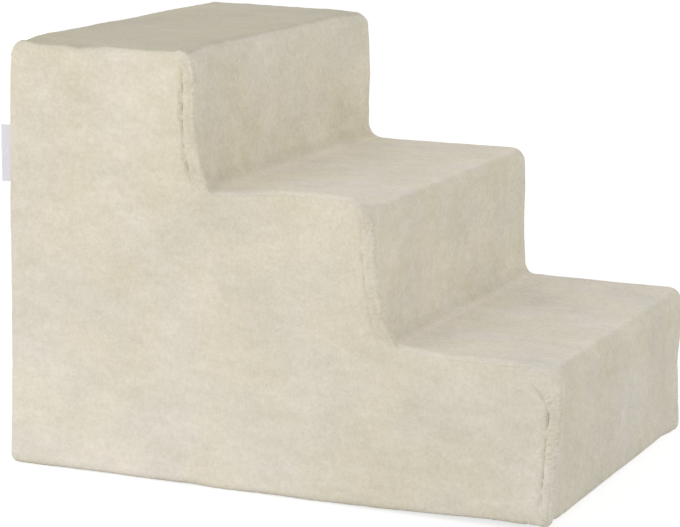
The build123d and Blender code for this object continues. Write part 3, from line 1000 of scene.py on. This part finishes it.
def plush_shares(tree, place):
    """What the pile's colour goes by: its patterns, and shares of where and how a face lies, by name."""
    shares = {}
    for name, (size, detail, roughness) in PLUSH_PATTERNS.items():
        inputs = {"Vector": place, "Scale": [1 / (length * MM) for length in np.broadcast_to(size, 3)]}
        sized = add_node(tree, "ShaderNodeMapping", inputs).outputs[0]
        inputs = {"Vector": sized, "Scale": 1, "Detail": detail, "Roughness": roughness}
        shares[name] = add_node(tree, "ShaderNodeTexNoise", inputs).outputs["Fac"]
    where = add_node(tree, "ShaderNodeSeparateXYZ", {0: place}).outputs
    normal = add_node(tree, "ShaderNodeNewGeometry").outputs["Normal"]
    facing = add_node(tree, "ShaderNodeSeparateXYZ", {0: normal}).outputs
    sideways = add_node(tree, "ShaderNodeMath", {0: facing["X"]}, operation="ABSOLUTE").outputs[0]
    forward = add_node(tree, "ShaderNodeMath", {0: facing["Y"], 1: -1}, operation="MULTIPLY").outputs[0]
    slant = add_node(tree, "ShaderNodeMath", {0: forward, 1: facing["Z"]}, operation="MULTIPLY").outputs[0]
    inputs = {0: where["Z"], 1: -NOSING_SLOPE, 2: where["Y"]}
    behind = add_node(tree, "ShaderNodeMath", inputs, operation="MULTIPLY_ADD").outputs[0]
    # What each share is read off, from which value to which, and the share at either end
    ranges = {
        "side": (sideways, 0.5, 0.9, 0, 1),
        "not side": (sideways, 0.5, 0.9, 1, 0),
        "riser": (forward, 0.5, 0.9, 0, 1),
        "level": (facing["Z"], 0.72, 0.96, 0, 1),
        "slanting": (slant, 0.12, 0.45, 0, 1),
        "behind": (behind, *BEHIND_NOSINGS, 0, 1),
        "near the floor": (where["Z"], 0, 200 * MM, 1, 0),
        "to the back": (where["Y"], -100 * MM, 120 * MM, 0.05, 0.5),
        "under the first tread": (where["Z"], 90 * MM, 130 * MM, 1, 0),
        "low": (where["Z"], 0, 260 * MM, 1, 0),
        "top": (where["Z"], TOP - 30 * MM, TOP - 20 * MM, 0, 1),
        "warm": (shares["hue"], 0.4, 0.6, 1, 0),
        "cool": (shares["hue"], 0.4, 0.6, 0, 1),
        "pressed": (shares["pressing"], 0.35, 0.65, 0.3, 1),
        "grain": (shares["tufts"], 0.3, 0.7, 1, 0),
    }
    for name, (value, low, high, start, end) in ranges.items():
        inputs = {"Value": value, "From Min": low, "From Max": high, "To Min": start, "To Max": end}
        made = add_node(tree, "ShaderNodeMapRange", inputs, interpolation_type="SMOOTHSTEP")
        shares[name] = made.outputs["Result"]
    shares["olive heights"] = share_by_height(tree, where["Z"], OLIVE_SHADE_SHOWS)
    products = {
        # Painted light on the sides, low down and towards the back
        "painted light low on side": ("side", "near the floor", "to the back"),
        "first riser": ("under the first tread", "riser"),
        "strokes": ("stroke", "not side"),
        # Painted shade under the nosings and at the top riser's foot, in uneven patches
        "olive shade": ("olive heights", "pressed", "riser"),
        # Painted shade in the inner folds
        "fold": ("slanting", "behind"),
        # Painted shade on the top step, whose nap is also brushed back
        "top step shade": ("level", "top"),
    }
    for name, (first, *others) in products.items():
        product = shares[first]
        for other in others:
            inputs = {0: product, 1: shares[other]}
            product = add_node(tree, "ShaderNodeMath", inputs, operation="MULTIPLY").outputs[0]
        shares[name] = product
    return shares


def plush_colour(tree, place):
    """Colour of the pile: brushed patches, strokes and a fine mottle, by how the nap lies.

    Painted light lifts the treads and the top, and on the treads the nap is also brushed towards the front.
    Painted light lifts the sides low down and towards the back, and paints them a little warm. Painted shade
    darkens the top step, whose nap is also brushed back, the inner folds, and the risers under the nosings
    and at the foot of the top riser, in uneven greenish patches. The first riser is a little darker, and the
    pile a little bluer low down.
    """
    shares = plush_shares(tree, place)
    tone = TONE_START
    for name, weight in TONE_WEIGHTS.items():
        inputs = {0: shares[name], 1: weight, 2: tone}
        tone = add_node(tree, "ShaderNodeMath", inputs, operation="MULTIPLY_ADD").outputs[0]
    inputs = {"Factor": tone, 6: linear(PLUSH_DARK), 7: linear(PLUSH_LIGHT)}
    colour = add_node(tree, "ShaderNodeMix", inputs, data_type="RGBA", clamp_factor=False).outputs[2]
    for name, nap in PILE_TINTS.items():
        inputs = {"Factor": shares[name], 6: colour, 7: linear(nap)}
        tinted = add_node(tree, "ShaderNodeMix", inputs, data_type="RGBA", blend_type="MULTIPLY")
        colour = tinted.outputs[2]
    return colour


def plush_material():
    """Short polyester plush, brushed: small curled clumps of pile, with the pale halo of standing fibres."""
    made, tree, shader, place = new_material("coral_fleece_plush")
    inputs = {"Vector": place, "Scale": 1 / CLUMP, "Smoothness": 0.6}
    clump = add_node(tree, "ShaderNodeTexVoronoi", inputs, feature="SMOOTH_F1")
    curl = add_node(
        tree, "ShaderNodeTexNoise", {"Vector": place, "Scale": 1 / CURL, "Detail": 3, "Distortion": 1}
    )
    inputs = {0: clump.outputs["Distance"], 1: -0.8, 2: curl.outputs["Fac"]}
    height = add_node(tree, "ShaderNodeMath", inputs, operation="MULTIPLY_ADD")
    inputs = {"Height": height.outputs[0], "Strength": 0.55, "Distance": PILE_HEIGHT}
    bump = add_node(tree, "ShaderNodeBump", inputs)
    finish = {
        "Base Color": plush_colour(tree, place),
        "Normal": bump.outputs["Normal"],
        "Roughness": 0.95,
        "Specular IOR Level": 0.2,
        "Sheen Weight": 0.25,
        "Sheen Roughness": 0.45,
        "Sheen Tint": linear(PLUSH_SHEEN),
    }
    set_inputs(tree, shader, finish)
    return made


def woven_material(name, dark, light, thread, roughness, depth):
    """A plain weave of threads of one width, with painted light on each rising thread and painted shade
    between the threads, over worn patches.
    """
    made, tree, shader, place = new_material(name)
    ribs = []
    for way in ("X", "Z"):
        inputs = {"Vector": place, "Scale": 1 / (2 * thread), "Distortion": 0.4}
        ribs.append(add_node(tree, "ShaderNodeTexWave", inputs, bands_direction=way).outputs["Fac"])
    weave = add_node(tree, "ShaderNodeMath", dict(enumerate(ribs)), operation="MULTIPLY").outputs[0]
    wear = add_node(tree, "ShaderNodeTexNoise", {"Vector": place, "Scale": 1 / WEAR_PATCH, "Detail": 3})
    # Painted light on the rising threads and painted shade between them, over worn patches
    inputs = {0: wear.outputs["Fac"], 1: 0.5, 2: weave}
    wear_and_thread_shade = add_node(tree, "ShaderNodeMath", inputs, operation="MULTIPLY_ADD").outputs[0]
    inputs = {"Factor": wear_and_thread_shade, 6: linear(dark), 7: linear(light)}
    colour = add_node(tree, "ShaderNodeMix", inputs, data_type="RGBA").outputs[2]
    bump = add_node(tree, "ShaderNodeBump", {"Height": weave, "Strength": 0.5, "Distance": depth})
    set_inputs(tree, shader, {"Base Color": colour, "Normal": bump.outputs["Normal"], "Roughness": roughness})
    return made


def mottled_material(name, dark, light, grain, depth, roughness, metallic=0):
    """A cast or moulded finish: a slight mottle in its colour and roughness, and a fine bumpy skin."""
    made, tree, shader, place = new_material(name)
    inputs = {"Vector": place, "Scale": 0.3 / grain, "Detail": 4, "Roughness": 0.6}
    mottle = add_node(tree, "ShaderNodeTexNoise", inputs).outputs["Fac"]
    skin = add_node(tree, "ShaderNodeTexNoise", {"Vector": place, "Scale": 1 / grain, "Detail": 3})
    inputs = {"Factor": mottle, 6: linear(dark), 7: linear(light)}
    colour = add_node(tree, "ShaderNodeMix", inputs, data_type="RGBA").outputs[2]
    inputs = {"Value": mottle, "To Min": 0.8 * roughness, "To Max": min(1, 1.25 * roughness)}
    polish = add_node(tree, "ShaderNodeMapRange", inputs).outputs["Result"]
    inputs = {"Height": skin.outputs["Fac"], "Strength": 0.4, "Distance": depth}
    bump = add_node(tree, "ShaderNodeBump", inputs).outputs["Normal"]
    finish = {"Base Color": colour, "Roughness": polish, "Normal": bump, "Metallic": metallic}
    set_inputs(tree, shader, finish)
    return made


def foam_material():
    """Open-cell polyurethane foam: pale, matt and full of small pores."""
    made, tree, shader, place = new_material("polyurethane_foam")
    pores = add_node(tree, "ShaderNodeTexVoronoi", {"Vector": place, "Scale": 1 / FOAM_PORE})
    cloud = add_node(tree, "ShaderNodeTexNoise", {"Vector": place, "Scale": 1 / FOAM_CLOUD, "Detail": 3})
    inputs = {0: pores.outputs["Distance"], 1: 0.6, 2: cloud.outputs["Fac"]}
    tone = add_node(tree, "ShaderNodeMath", inputs, operation="MULTIPLY_ADD").outputs[0]
    inputs = {"Factor": tone, 6: linear(FOAM_LIGHT), 7: linear(FOAM_DARK)}
    colour = add_node(tree, "ShaderNodeMix", inputs, data_type="RGBA").outputs[2]
    inputs = {"Height": pores.outputs["Distance"], "Strength": 0.6, "Distance": PORE_DEPTH}
    bump = add_node(tree, "ShaderNodeBump", inputs)
    set_inputs(tree, shader, {"Base Color": colour, "Normal": bump.outputs["Normal"], "Roughness": 0.9})
    return made


def foam_outline(low, high, radii, relief):
    """A slab's closely spaced outline in (Y, Z), with rounded corners and maybe a groove in its back."""
    corners = [(low[1], low[2]), (low[1], high[2]), (high[1], high[2]), (high[1], low[2])]
    radii = list(radii)
    if relief:
        depth, bottom, top = relief
        corners[3:3] = [(high[1], top), (high[1] - depth, top), (high[1] - depth, bottom), (high[1], bottom)]
        radii[3:3] = [0, 0, 0, 0]
    corners = np.array(corners)
    legs = []
    for i, (corner, radius) in enumerate(zip(corners, radii)):
        into = corner - corners[i - 1]
        out_of = corners[(i + 1) % len(corners)] - corner
        into, out_of = into / np.linalg.norm(into), out_of / np.linalg.norm(out_of)
        shares = np.linspace(0, 1, FOAM_TURNS)
        legs.append(round_corner(corner, into, out_of, radius, radius, shares)[0] if radius else corner[None])
    outline = np.concatenate(legs)
    spaced = []
    for a, b in zip(outline, np.roll(outline, -1, axis=0)):
        pieces = max(1, math.ceil(np.linalg.norm(b - a) / FOAM_SPACING))
        spaced.append(a + (b - a) * (np.arange(pieces) / pieces)[:, None])
    return np.concatenate(spaced)


def foam_slab(name, low, high, radii, relief=None):
    """A foam slab cut across X, with softened ends, a little smaller than the cover over it."""
    outline = foam_outline(low, high, radii, relief)
    middle = (outline.min(0) + outline.max(0)) / 2
    reach = (outline.max(0) - outline.min(0)) / 2
    turn = np.linspace(math.pi / 2, 0, FOAM_END_TURNS)
    ends = high[0] - FOAM_RIM * (1 - np.sin(turn))
    flat = np.linspace(-high[0] + FOAM_RIM, high[0] - FOAM_RIM, FOAM_STATIONS)[1:-1]
    stations = np.concatenate([-ends, flat, ends[::-1]])
    drawn = FOAM_RIM * (1 - np.cos(turn))
    insets = np.concatenate([drawn, np.zeros(len(flat)), drawn[::-1]])
    columns = len(outline)
    rings = np.concatenate([middle + (outline - middle) * (1 - inset / reach) for inset in insets])
    points = np.concatenate([np.repeat(stations, columns)[:, None], rings], 1)
    points[:, 1:] -= FOAM_SLACK * (1 + drift(points, *FOAM_WAVES))[:, None] * np.sign(points[:, 1:] - middle)
    points[:, 2] = np.minimum(points[:, 2], pulled_across(points[:, 0], points[:, 1:])[:, 1])
    ring = np.arange(columns)
    after = (ring + 1) % columns
    last = columns * (len(stations) - 1)
    faces = [ring[::-1].tolist(), (ring + last).tolist()]
    for start in range(0, last, columns):
        end = start + columns
        faces += np.stack([start + ring, start + after, end + after, end + ring], 1).tolist()
    return make_mesh(name, points, faces)


def tube(path, radii, sides):
    """Points and faces of a closed tube round a closed path, with a radius at each of its points."""
    path = np.asarray(path, float)
    tangent = np.roll(path, -1, axis=0) - np.roll(path, 1, axis=0)
    tangent /= np.linalg.norm(tangent, axis=1, keepdims=True)
    side = np.cross(tangent, [1.0, 0.0, 0.0])
    side /= np.linalg.norm(side, axis=1, keepdims=True)
    other = np.cross(tangent, side)
    turns = np.arange(sides) / sides * 2 * math.pi
    ring = side[:, None] * np.cos(turns)[None, :, None] + other[:, None] * np.sin(turns)[None, :, None]
    points = (path[:, None] + ring * np.asarray(radii)[:, None, None]).reshape(-1, 3)
    row, column = np.meshgrid(np.arange(len(path)), np.arange(sides), indexing="ij")
    next_row, next_column = (row + 1) % len(path), (column + 1) % sides
    a, b = row * sides + column, row * sides + next_column
    c, d = next_row * sides + next_column, next_row * sides + column
    return points, np.stack([a, b, c, d], -1).reshape(-1, 4)


def zip_tooth():
    """One turn of a nylon coil: a flat loop of wire over the tape's edge, thicker at its head."""
    turns = np.arange(TOOTH_POINTS) / TOOTH_POINTS * 2 * math.pi
    reach = (TOOTH_ROOT - TOOTH_TIP) / 2 - TOOTH_WIRE
    z = (TOOTH_ROOT + TOOTH_TIP) / 2 - reach * np.cos(turns)
    y = COIL_LIFT + COIL_DEPTH / 2 + COIL_DEPTH / 2 * np.sin(turns)
    head = (1 + np.cos(turns)) / 2
    radii = TOOTH_WIRE + (TOOTH_HEAD - TOOTH_WIRE) * head**3
    points, faces = tube(np.stack([TOOTH_SWAY * np.sin(turns), y, z], 1), radii, TOOTH_SIDES)
    return make_mesh("tooth", points, faces)


def mirrored(piece, name):
    """A copy of a shape turned upside down."""
    mesh = piece.data.copy()
    mesh.transform(Matrix.Scale(-1, 4, (0, 0, 1)))
    mesh.flip_normals()
    return link(name, mesh)


def stitch_shape():
    """One stitch of thread along X, dipping into the cloth at both ends."""
    steps = np.linspace(-1, 1, STITCH_POINTS)
    arch = STITCH_ARCH * (1 - steps**4) - STITCH_SINK
    path = np.stack([STITCH_HALF * steps, arch, STITCH_SKEW * steps], 1)
    radius = THREAD_RADIUS * (1 - 0.75 * steps**6)
    turns = np.arange(THREAD_SIDES) / THREAD_SIDES * 2 * math.pi
    ring = np.stack([0 * turns, np.cos(turns), np.sin(turns)], 1)
    points = (path[:, None] + ring[None] * radius[:, None, None]).reshape(-1, 3)
    row, side = np.meshgrid(np.arange(len(steps) - 1), np.arange(THREAD_SIDES), indexing="ij")
    first = row * THREAD_SIDES + side
    second = row * THREAD_SIDES + (side + 1) % THREAD_SIDES
    faces = np.stack([first, second, second + THREAD_SIDES, first + THREAD_SIDES], -1).reshape(-1, 4)
    return make_mesh("stitch", points, faces)


def smooth_solid(name, made):
    """The object of a finished bmesh, smoothly shaded."""
    mesh = bpy.data.meshes.new(name)
    made.to_mesh(mesh)
    made.free()
    mesh.polygons.foreach_set("use_smooth", [True] * len(mesh.polygons))
    return link(name, mesh)


def dot_shape():
    """One low rubber dot that hangs under the base cloth."""
    made = bmesh.new()
    bmesh.ops.create_uvsphere(made, u_segments=10, v_segments=8, radius=DOT_RADIUS)
    bmesh.ops.scale(made, vec=(1, 1, BASE_CLOTH / DOT_RADIUS), verts=made.verts)
    bmesh.ops.delete(made, geom=[v for v in made.verts if v.co.z > DOT_ROOT], context="VERTS")
    return smooth_solid("dot", made)


def zip_tape(name, low, high):
    """A woven tape with a slight ripple, lying on the foam behind a back panel's edge."""
    xs, zs = np.meshgrid(np.linspace(low[0], high[0], TAPE_COLUMNS), np.linspace(low[2], high[2], TAPE_ROWS))
    points = np.stack([xs, np.full(xs.shape, high[1] - TAPE_SINK), zs], -1)
    points[..., 1] += TAPE_WAVE * drift(points, *TAPE_RIPPLES)
    faces = grid_faces(TAPE_ROWS, TAPE_COLUMNS)[:, ::-1]
    return make_mesh(name, points.reshape(-1, 3), faces, points[..., [0, 2]].reshape(-1, 2))


def moulded_block(name, low, high, radius):
    """A small moulded block with rounded edges."""
    made = bmesh.new()
    bmesh.ops.create_cube(made, size=1)
    bmesh.ops.scale(made, vec=[b - a for a, b in zip(low, high)], verts=made.verts)
    bmesh.ops.translate(made, vec=[(a + b) / 2 for a, b in zip(low, high)], verts=made.verts)
    bmesh.ops.bevel(made, geom=made.edges[:], offset=radius, segments=4, profile=0.5, affect="EDGES")
    return smooth_solid(name, made)


def ribbon_tag():
    """A bare satin ribbon, folded once, its two ends caught in the back seam."""
    half_gap = (tag_high[0] - tag_low[0] - RIBBON) / 2
    middle = (tag_high[0] + tag_low[0]) / 2
    fold = tag_high[1] - TAG_SLACK - half_gap
    steps = np.linspace(0, 1, RIBBON_COLUMNS)
    turns = np.linspace(math.pi / 2, -math.pi / 2, RIBBON_TURNS)
    out_y = tag_low[1] + (fold - tag_low[1]) * steps
    opening = half_gap * (RIBBON_PINCH + (1 - RIBBON_PINCH) * smooth(0, RIBBON_OPENING, steps))
    leg = np.stack([middle - opening, out_y], 1)
    back = np.stack([middle + opening, out_y], 1)[::-1]
    bend = np.stack([middle - half_gap * np.sin(turns), fold + half_gap * np.cos(turns)], 1)[1:-1]
    path = np.concatenate([leg, bend, back])
    zs = np.linspace(tag_low[2], tag_high[2], RIBBON_ROWS)
    rows, columns = len(zs), len(path)
    points = np.zeros((rows, columns, 3))
    points[..., :2] = path
    points[..., 2] = zs[:, None]
    out = np.clip((points[..., 1] - tag_low[1]) / (tag_high[1] - tag_low[1]), 0, 1)
    bow = RIBBON_BOW * out**2 * np.sin(zs * RIBBON_BOW_TURNS)[:, None]
    points[..., 0] += bow + RIBBON_WAVE * out * drift(points, *RIBBON_RIPPLES)
    lengths = run_lengths(path)
    flat_cut = np.stack([np.broadcast_to(lengths, (rows, columns)), points[..., 2]], -1)
    faces = grid_faces(rows, columns)
    made = make_mesh("ribbon_tag", points.reshape(-1, 3), faces, flat_cut.reshape(-1, 2))
    return made, float(lengths[-1])


def dress(piece, material, nodes=()):
    """Gives a piece its material and slot, rides it on the stairs, and hides the nodes it stands for."""
    piece.data.materials.clear()
    piece.data.materials.append(material)
    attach(piece, "stairs")
    if nodes:
        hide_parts(*nodes)
    return piece


# Materials, with what each one gives the eye
plush = plush_material()
foam = foam_material()

# A coarse, dull weave with low dots of matt, slightly grainy rubber moulded onto it
non_slip = woven_material(
    "non_slip_base_cloth", "7F776B", "A39A8C", thread=0.45 * MM, roughness=0.8, depth=0.15 * MM
)
rubber = mottled_material(
    "non_slip_rubber_dots", "6E675D", "7C756A", grain=0.4 * MM, depth=0.03 * MM, roughness=0.6
)

# A tight plain weave a little darker than the plush, and moulded nylon with a soft gloss
tape_cloth = woven_material(
    "zip_tape_weave", "BDB49E", "DDD5C2", thread=0.3 * MM, roughness=0.75, depth=0.08 * MM
)
nylon = mottled_material("zip_nylon", "CFC7B3", "E2DBCA", grain=0.5 * MM, depth=0.02 * MM, roughness=0.35)

# Cast and tumbled zinc: grey, with a soft uneven shine
zinc = mottled_material(
    "zip_cast_zinc", "A9A7A2", "C9C7C2", grain=0.25 * MM, depth=0.015 * MM, roughness=0.3, metallic=1
)

# A cool white ribbon of close threads with a soft gloss, and matt spun thread
satin = woven_material("satin_ribbon", "DBDAE0", "E2E1E6", thread=0.25 * MM, roughness=0.45, depth=0.02 * MM)
thread = woven_material("sewing_thread", "C6BEA9", "E6DFCE", thread=0.12 * MM, roughness=0.7, depth=0.05 * MM)

# Foam core
foam_radii = [FOAM_CORNER, FOAM_NOSING, 0, FOAM_CORNER]
groove_depth = lower_high[1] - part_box("zip_slider")[0][1] + GROOVE_ROOM
groove = (groove_depth, ZIP_HEIGHT - GROOVE_HALF, ZIP_HEIGHT + GROOVE_HALF)
slab_lower = foam_slab("foam_lower", lower_low, lower_high, foam_radii, groove)
slab_middle = foam_slab("foam_middle", middle_low, middle_high, [0, FOAM_NOSING, 0, 0])
slab_upper = foam_slab("foam_upper", upper_low, upper_high, [0, FOAM_NOSING, FOAM_CORNER, 0])
dress(slab_lower, foam, ["core_slab_lower"])
dress(slab_middle, foam, ["core_slab_middle"])
dress(slab_upper, foam, ["core_slab_upper"])

# Plush panels
strip, strip_cut = step_panel()
dress(strip, plush, ["step_panel"])
side_border, side_on_seam = side_pattern()
side_mesh = pattern_mesh(side_border, side_on_seam)
left = side_panel("side_plush_left", -1, side_border, side_on_seam, side_mesh)
right = side_panel("side_plush_right", 1, side_border, side_on_seam, side_mesh)
dress(left, plush, ["side_panel_left"])
dress(right, plush, ["side_panel_right"])
upper_back = back_panel("back_plush_upper", TOP - TOP_LAP, ZIP_TOP)
lower_back = back_panel("back_plush_lower", ZIP_BOTTOM)
dress(upper_back, plush, ["back_panel_upper"])
dress(lower_back, plush, ["back_panel_lower"])

# Underside
base = dress(base_panel(), non_slip, ["base_panel"])
dot = dot_shape()
dots = make_mesh("non_slip_dots", [(0, 0, 0)], [])
dots_across = int(2 * SEAM_HALF / DOT_PITCH)
dots_along = int((base_high[1] - base_low[1]) / DOT_PITCH)
dot_values = {
    "Shape": dot,
    "Width": (dots_across - 1) * DOT_PITCH,
    "Length": (dots_along - 1) * DOT_PITCH,
    "Across": dots_across,
    "Along": dots_along,
    "Finish": rubber,
}
run_nodes(dots, dot_nodes(), dot_values)
dots.data.transform(Matrix.Translation((0, (base_low[1] + base_high[1]) / 2, BASE_CLOTH)))
dress(dots, rubber)
bpy.data.objects.remove(dot)

# Zip
row_tree = row_nodes()
for name in ("upper", "lower"):
    low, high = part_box("zip_tape_" + name)
    dress(zip_tape("tape_" + name, low, high), tape_cloth, ["zip_tape_" + name])
tooth = zip_tooth()
tooth_down = mirrored(tooth, "tooth_down")
first_tooth = -CHAIN_HALF + TOOTH_PITCH / 2
for name, shape, shift in (("upper", tooth, 0), ("lower", tooth_down, TOOTH_PITCH / 2)):
    start = (first_tooth + shift, TAPE_OUTER, ZIP_HEIGHT)
    step = (TOOTH_PITCH, 0, 0)
    coil = repeat_row("coil_" + name, row_tree, shape, TOOTH_COUNT, start, step, nylon)
    dress(coil, nylon, ["zip_coil_" + name])
bpy.data.objects.remove(tooth)
bpy.data.objects.remove(tooth_down)
for name in ("zip_stop_closed", "zip_stop_open"):
    low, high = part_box(name)
    dress(moulded_block(name + "_moulding", low, high, STOP_ROUNDING), nylon, [name])
for name in ("zip_slider", "zip_pull"):
    for material_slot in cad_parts[name].material_slots:
        material_slot.material = zinc

# Topstitching beside the zip, which stops short of the side seams
stitch = stitch_shape()
stitch_count = int(2 * (SEAM_HALF - TOPSTITCH) / STITCH_PITCH)
step = (STITCH_PITCH, 0, 0)
for name, height in (("upper", ZIP_TOP + TOPSTITCH), ("lower", ZIP_BOTTOM - TOPSTITCH)):
    start = (-(stitch_count - 1) * STITCH_PITCH / 2, BACK - STITCH_SUNK, height)
    row = repeat_row("topstitch_" + name, row_tree, stitch, stitch_count, start, step, thread)
    dress(row, thread)
bpy.data.objects.remove(stitch)

# Ribbon tag
tag, ribbon_length = ribbon_tag()
dress(tag, satin, ["side_tag"])

# Camera, from the photograph's perspective: its focal length in the photograph's pixels, its place, and how
# far it is turned, tipped down and rolled
PHOTO_WIDTH = 680
FOCAL_PIXELS = 2674.6
CAMERA_PLACE = (-1.9722, -0.8289, 0.5675)
heading, dip, roll = math.radians(66.819), math.radians(11.0), math.radians(0.874)
camera_data = bpy.data.cameras.new("camera")
camera_data.lens = camera_data.sensor_width * FOCAL_PIXELS / PHOTO_WIDTH
camera = link("camera", camera_data)
bpy.context.scene.camera = camera
ahead = Vector((math.cos(dip) * math.sin(heading), math.cos(dip) * math.cos(heading), -math.sin(dip)))
right_way = Vector((math.cos(heading), -math.sin(heading), 0))
up_way = right_way.cross(ahead)
right_roll = right_way * math.cos(roll) + up_way * math.sin(roll)
up_roll = up_way * math.cos(roll) - right_way * math.sin(roll)
facing = Matrix((right_roll, up_roll, -ahead)).transposed()
camera.matrix_world = Matrix.Translation(CAMERA_PLACE) @ facing.to_4x4()


def soft_light(name, place, aim, size, power):
    """A square soft box at a place, aimed at a point."""
    data = bpy.data.lights.new(name, "AREA")
    data.size = size
    data.energy = power
    lamp = link(name, data)
    lamp.location = place
    lamp.rotation_euler = (Vector(aim) - Vector(place)).to_track_quat("-Z", "Y").to_euler()


MIDDLE = (0, 0, TOP / 2)
soft_light("key", (-2.6, 0.9, 0.7), MIDDLE, size=1.3, power=21)
soft_light("front", (0.4, -3.0, 0.8), MIDDLE, size=1.5, power=13.5)
soft_light("back", (2.4, 2.0, 0.4), MIDDLE, size=1.3, power=10)

# World, which lights the stairs softly; the camera's rays, and those off metal or in glass, see it white
WHITE = linear("FFFFFF")
AMBIENT = 0.66
world = bpy.data.worlds.new("studio")
bpy.context.scene.world = world
world_tree = cleared_tree(world)
rays = add_node(world_tree, "ShaderNodeLightPath").outputs
seen = rays["Is Camera Ray"]
for ray in ("Is Glossy Ray", "Is Transmission Ray"):
    seen = add_node(world_tree, "ShaderNodeMath", {0: seen, 1: rays[ray]}, operation="MAXIMUM").outputs[0]
ambient = add_node(world_tree, "ShaderNodeBackground", {"Color": WHITE, "Strength": AMBIENT})
white = add_node(world_tree, "ShaderNodeBackground", {"Color": WHITE, "Strength": 1})
inputs = {0: seen, 1: ambient.outputs[0], 2: white.outputs[0]}
shown = add_node(world_tree, "ShaderNodeMixShader", inputs)
add_node(world_tree, "ShaderNodeOutputWorld", {"Surface": shown.outputs[0]})


def floor_material():
    """Matt white studio floor; the camera sees it as part of the white background, with its shadow kept."""
    made = bpy.data.materials.new("studio_floor")
    tree = cleared_tree(made)
    camera_ray = add_node(tree, "ShaderNodeLightPath").outputs["Is Camera Ray"]
    plain = add_node(tree, "ShaderNodeBsdfDiffuse", {"Color": linear("F4F4F4")})
    thin = add_node(tree, "ShaderNodeBsdfDiffuse", {"Color": linear("AEAEAE")})
    glow = add_node(tree, "ShaderNodeEmission", {"Color": WHITE, "Strength": FLOOR_GLOW})
    lifted = add_node(tree, "ShaderNodeAddShader", {0: thin.outputs[0], 1: glow.outputs[0]})
    inputs = {0: camera_ray, 1: plain.outputs[0], 2: lifted.outputs[0]}
    mixed = add_node(tree, "ShaderNodeMixShader", inputs)
    add_node(tree, "ShaderNodeOutputMaterial", {"Surface": mixed.outputs[0]})
    return made


# Floor
FLOOR_HALF = 14
FLOOR_GLOW = 0.74
floor_corners = [(x * FLOOR_HALF, y * FLOOR_HALF, 0) for x, y in ((-1, -1), (1, -1), (1, 1), (-1, 1))]
floor = make_mesh("floor", floor_corners, [(0, 1, 2, 3)], smooth_faces=False)
floor.data.materials.append(floor_material())

bpy.context.scene.view_settings.view_transform = "Standard"
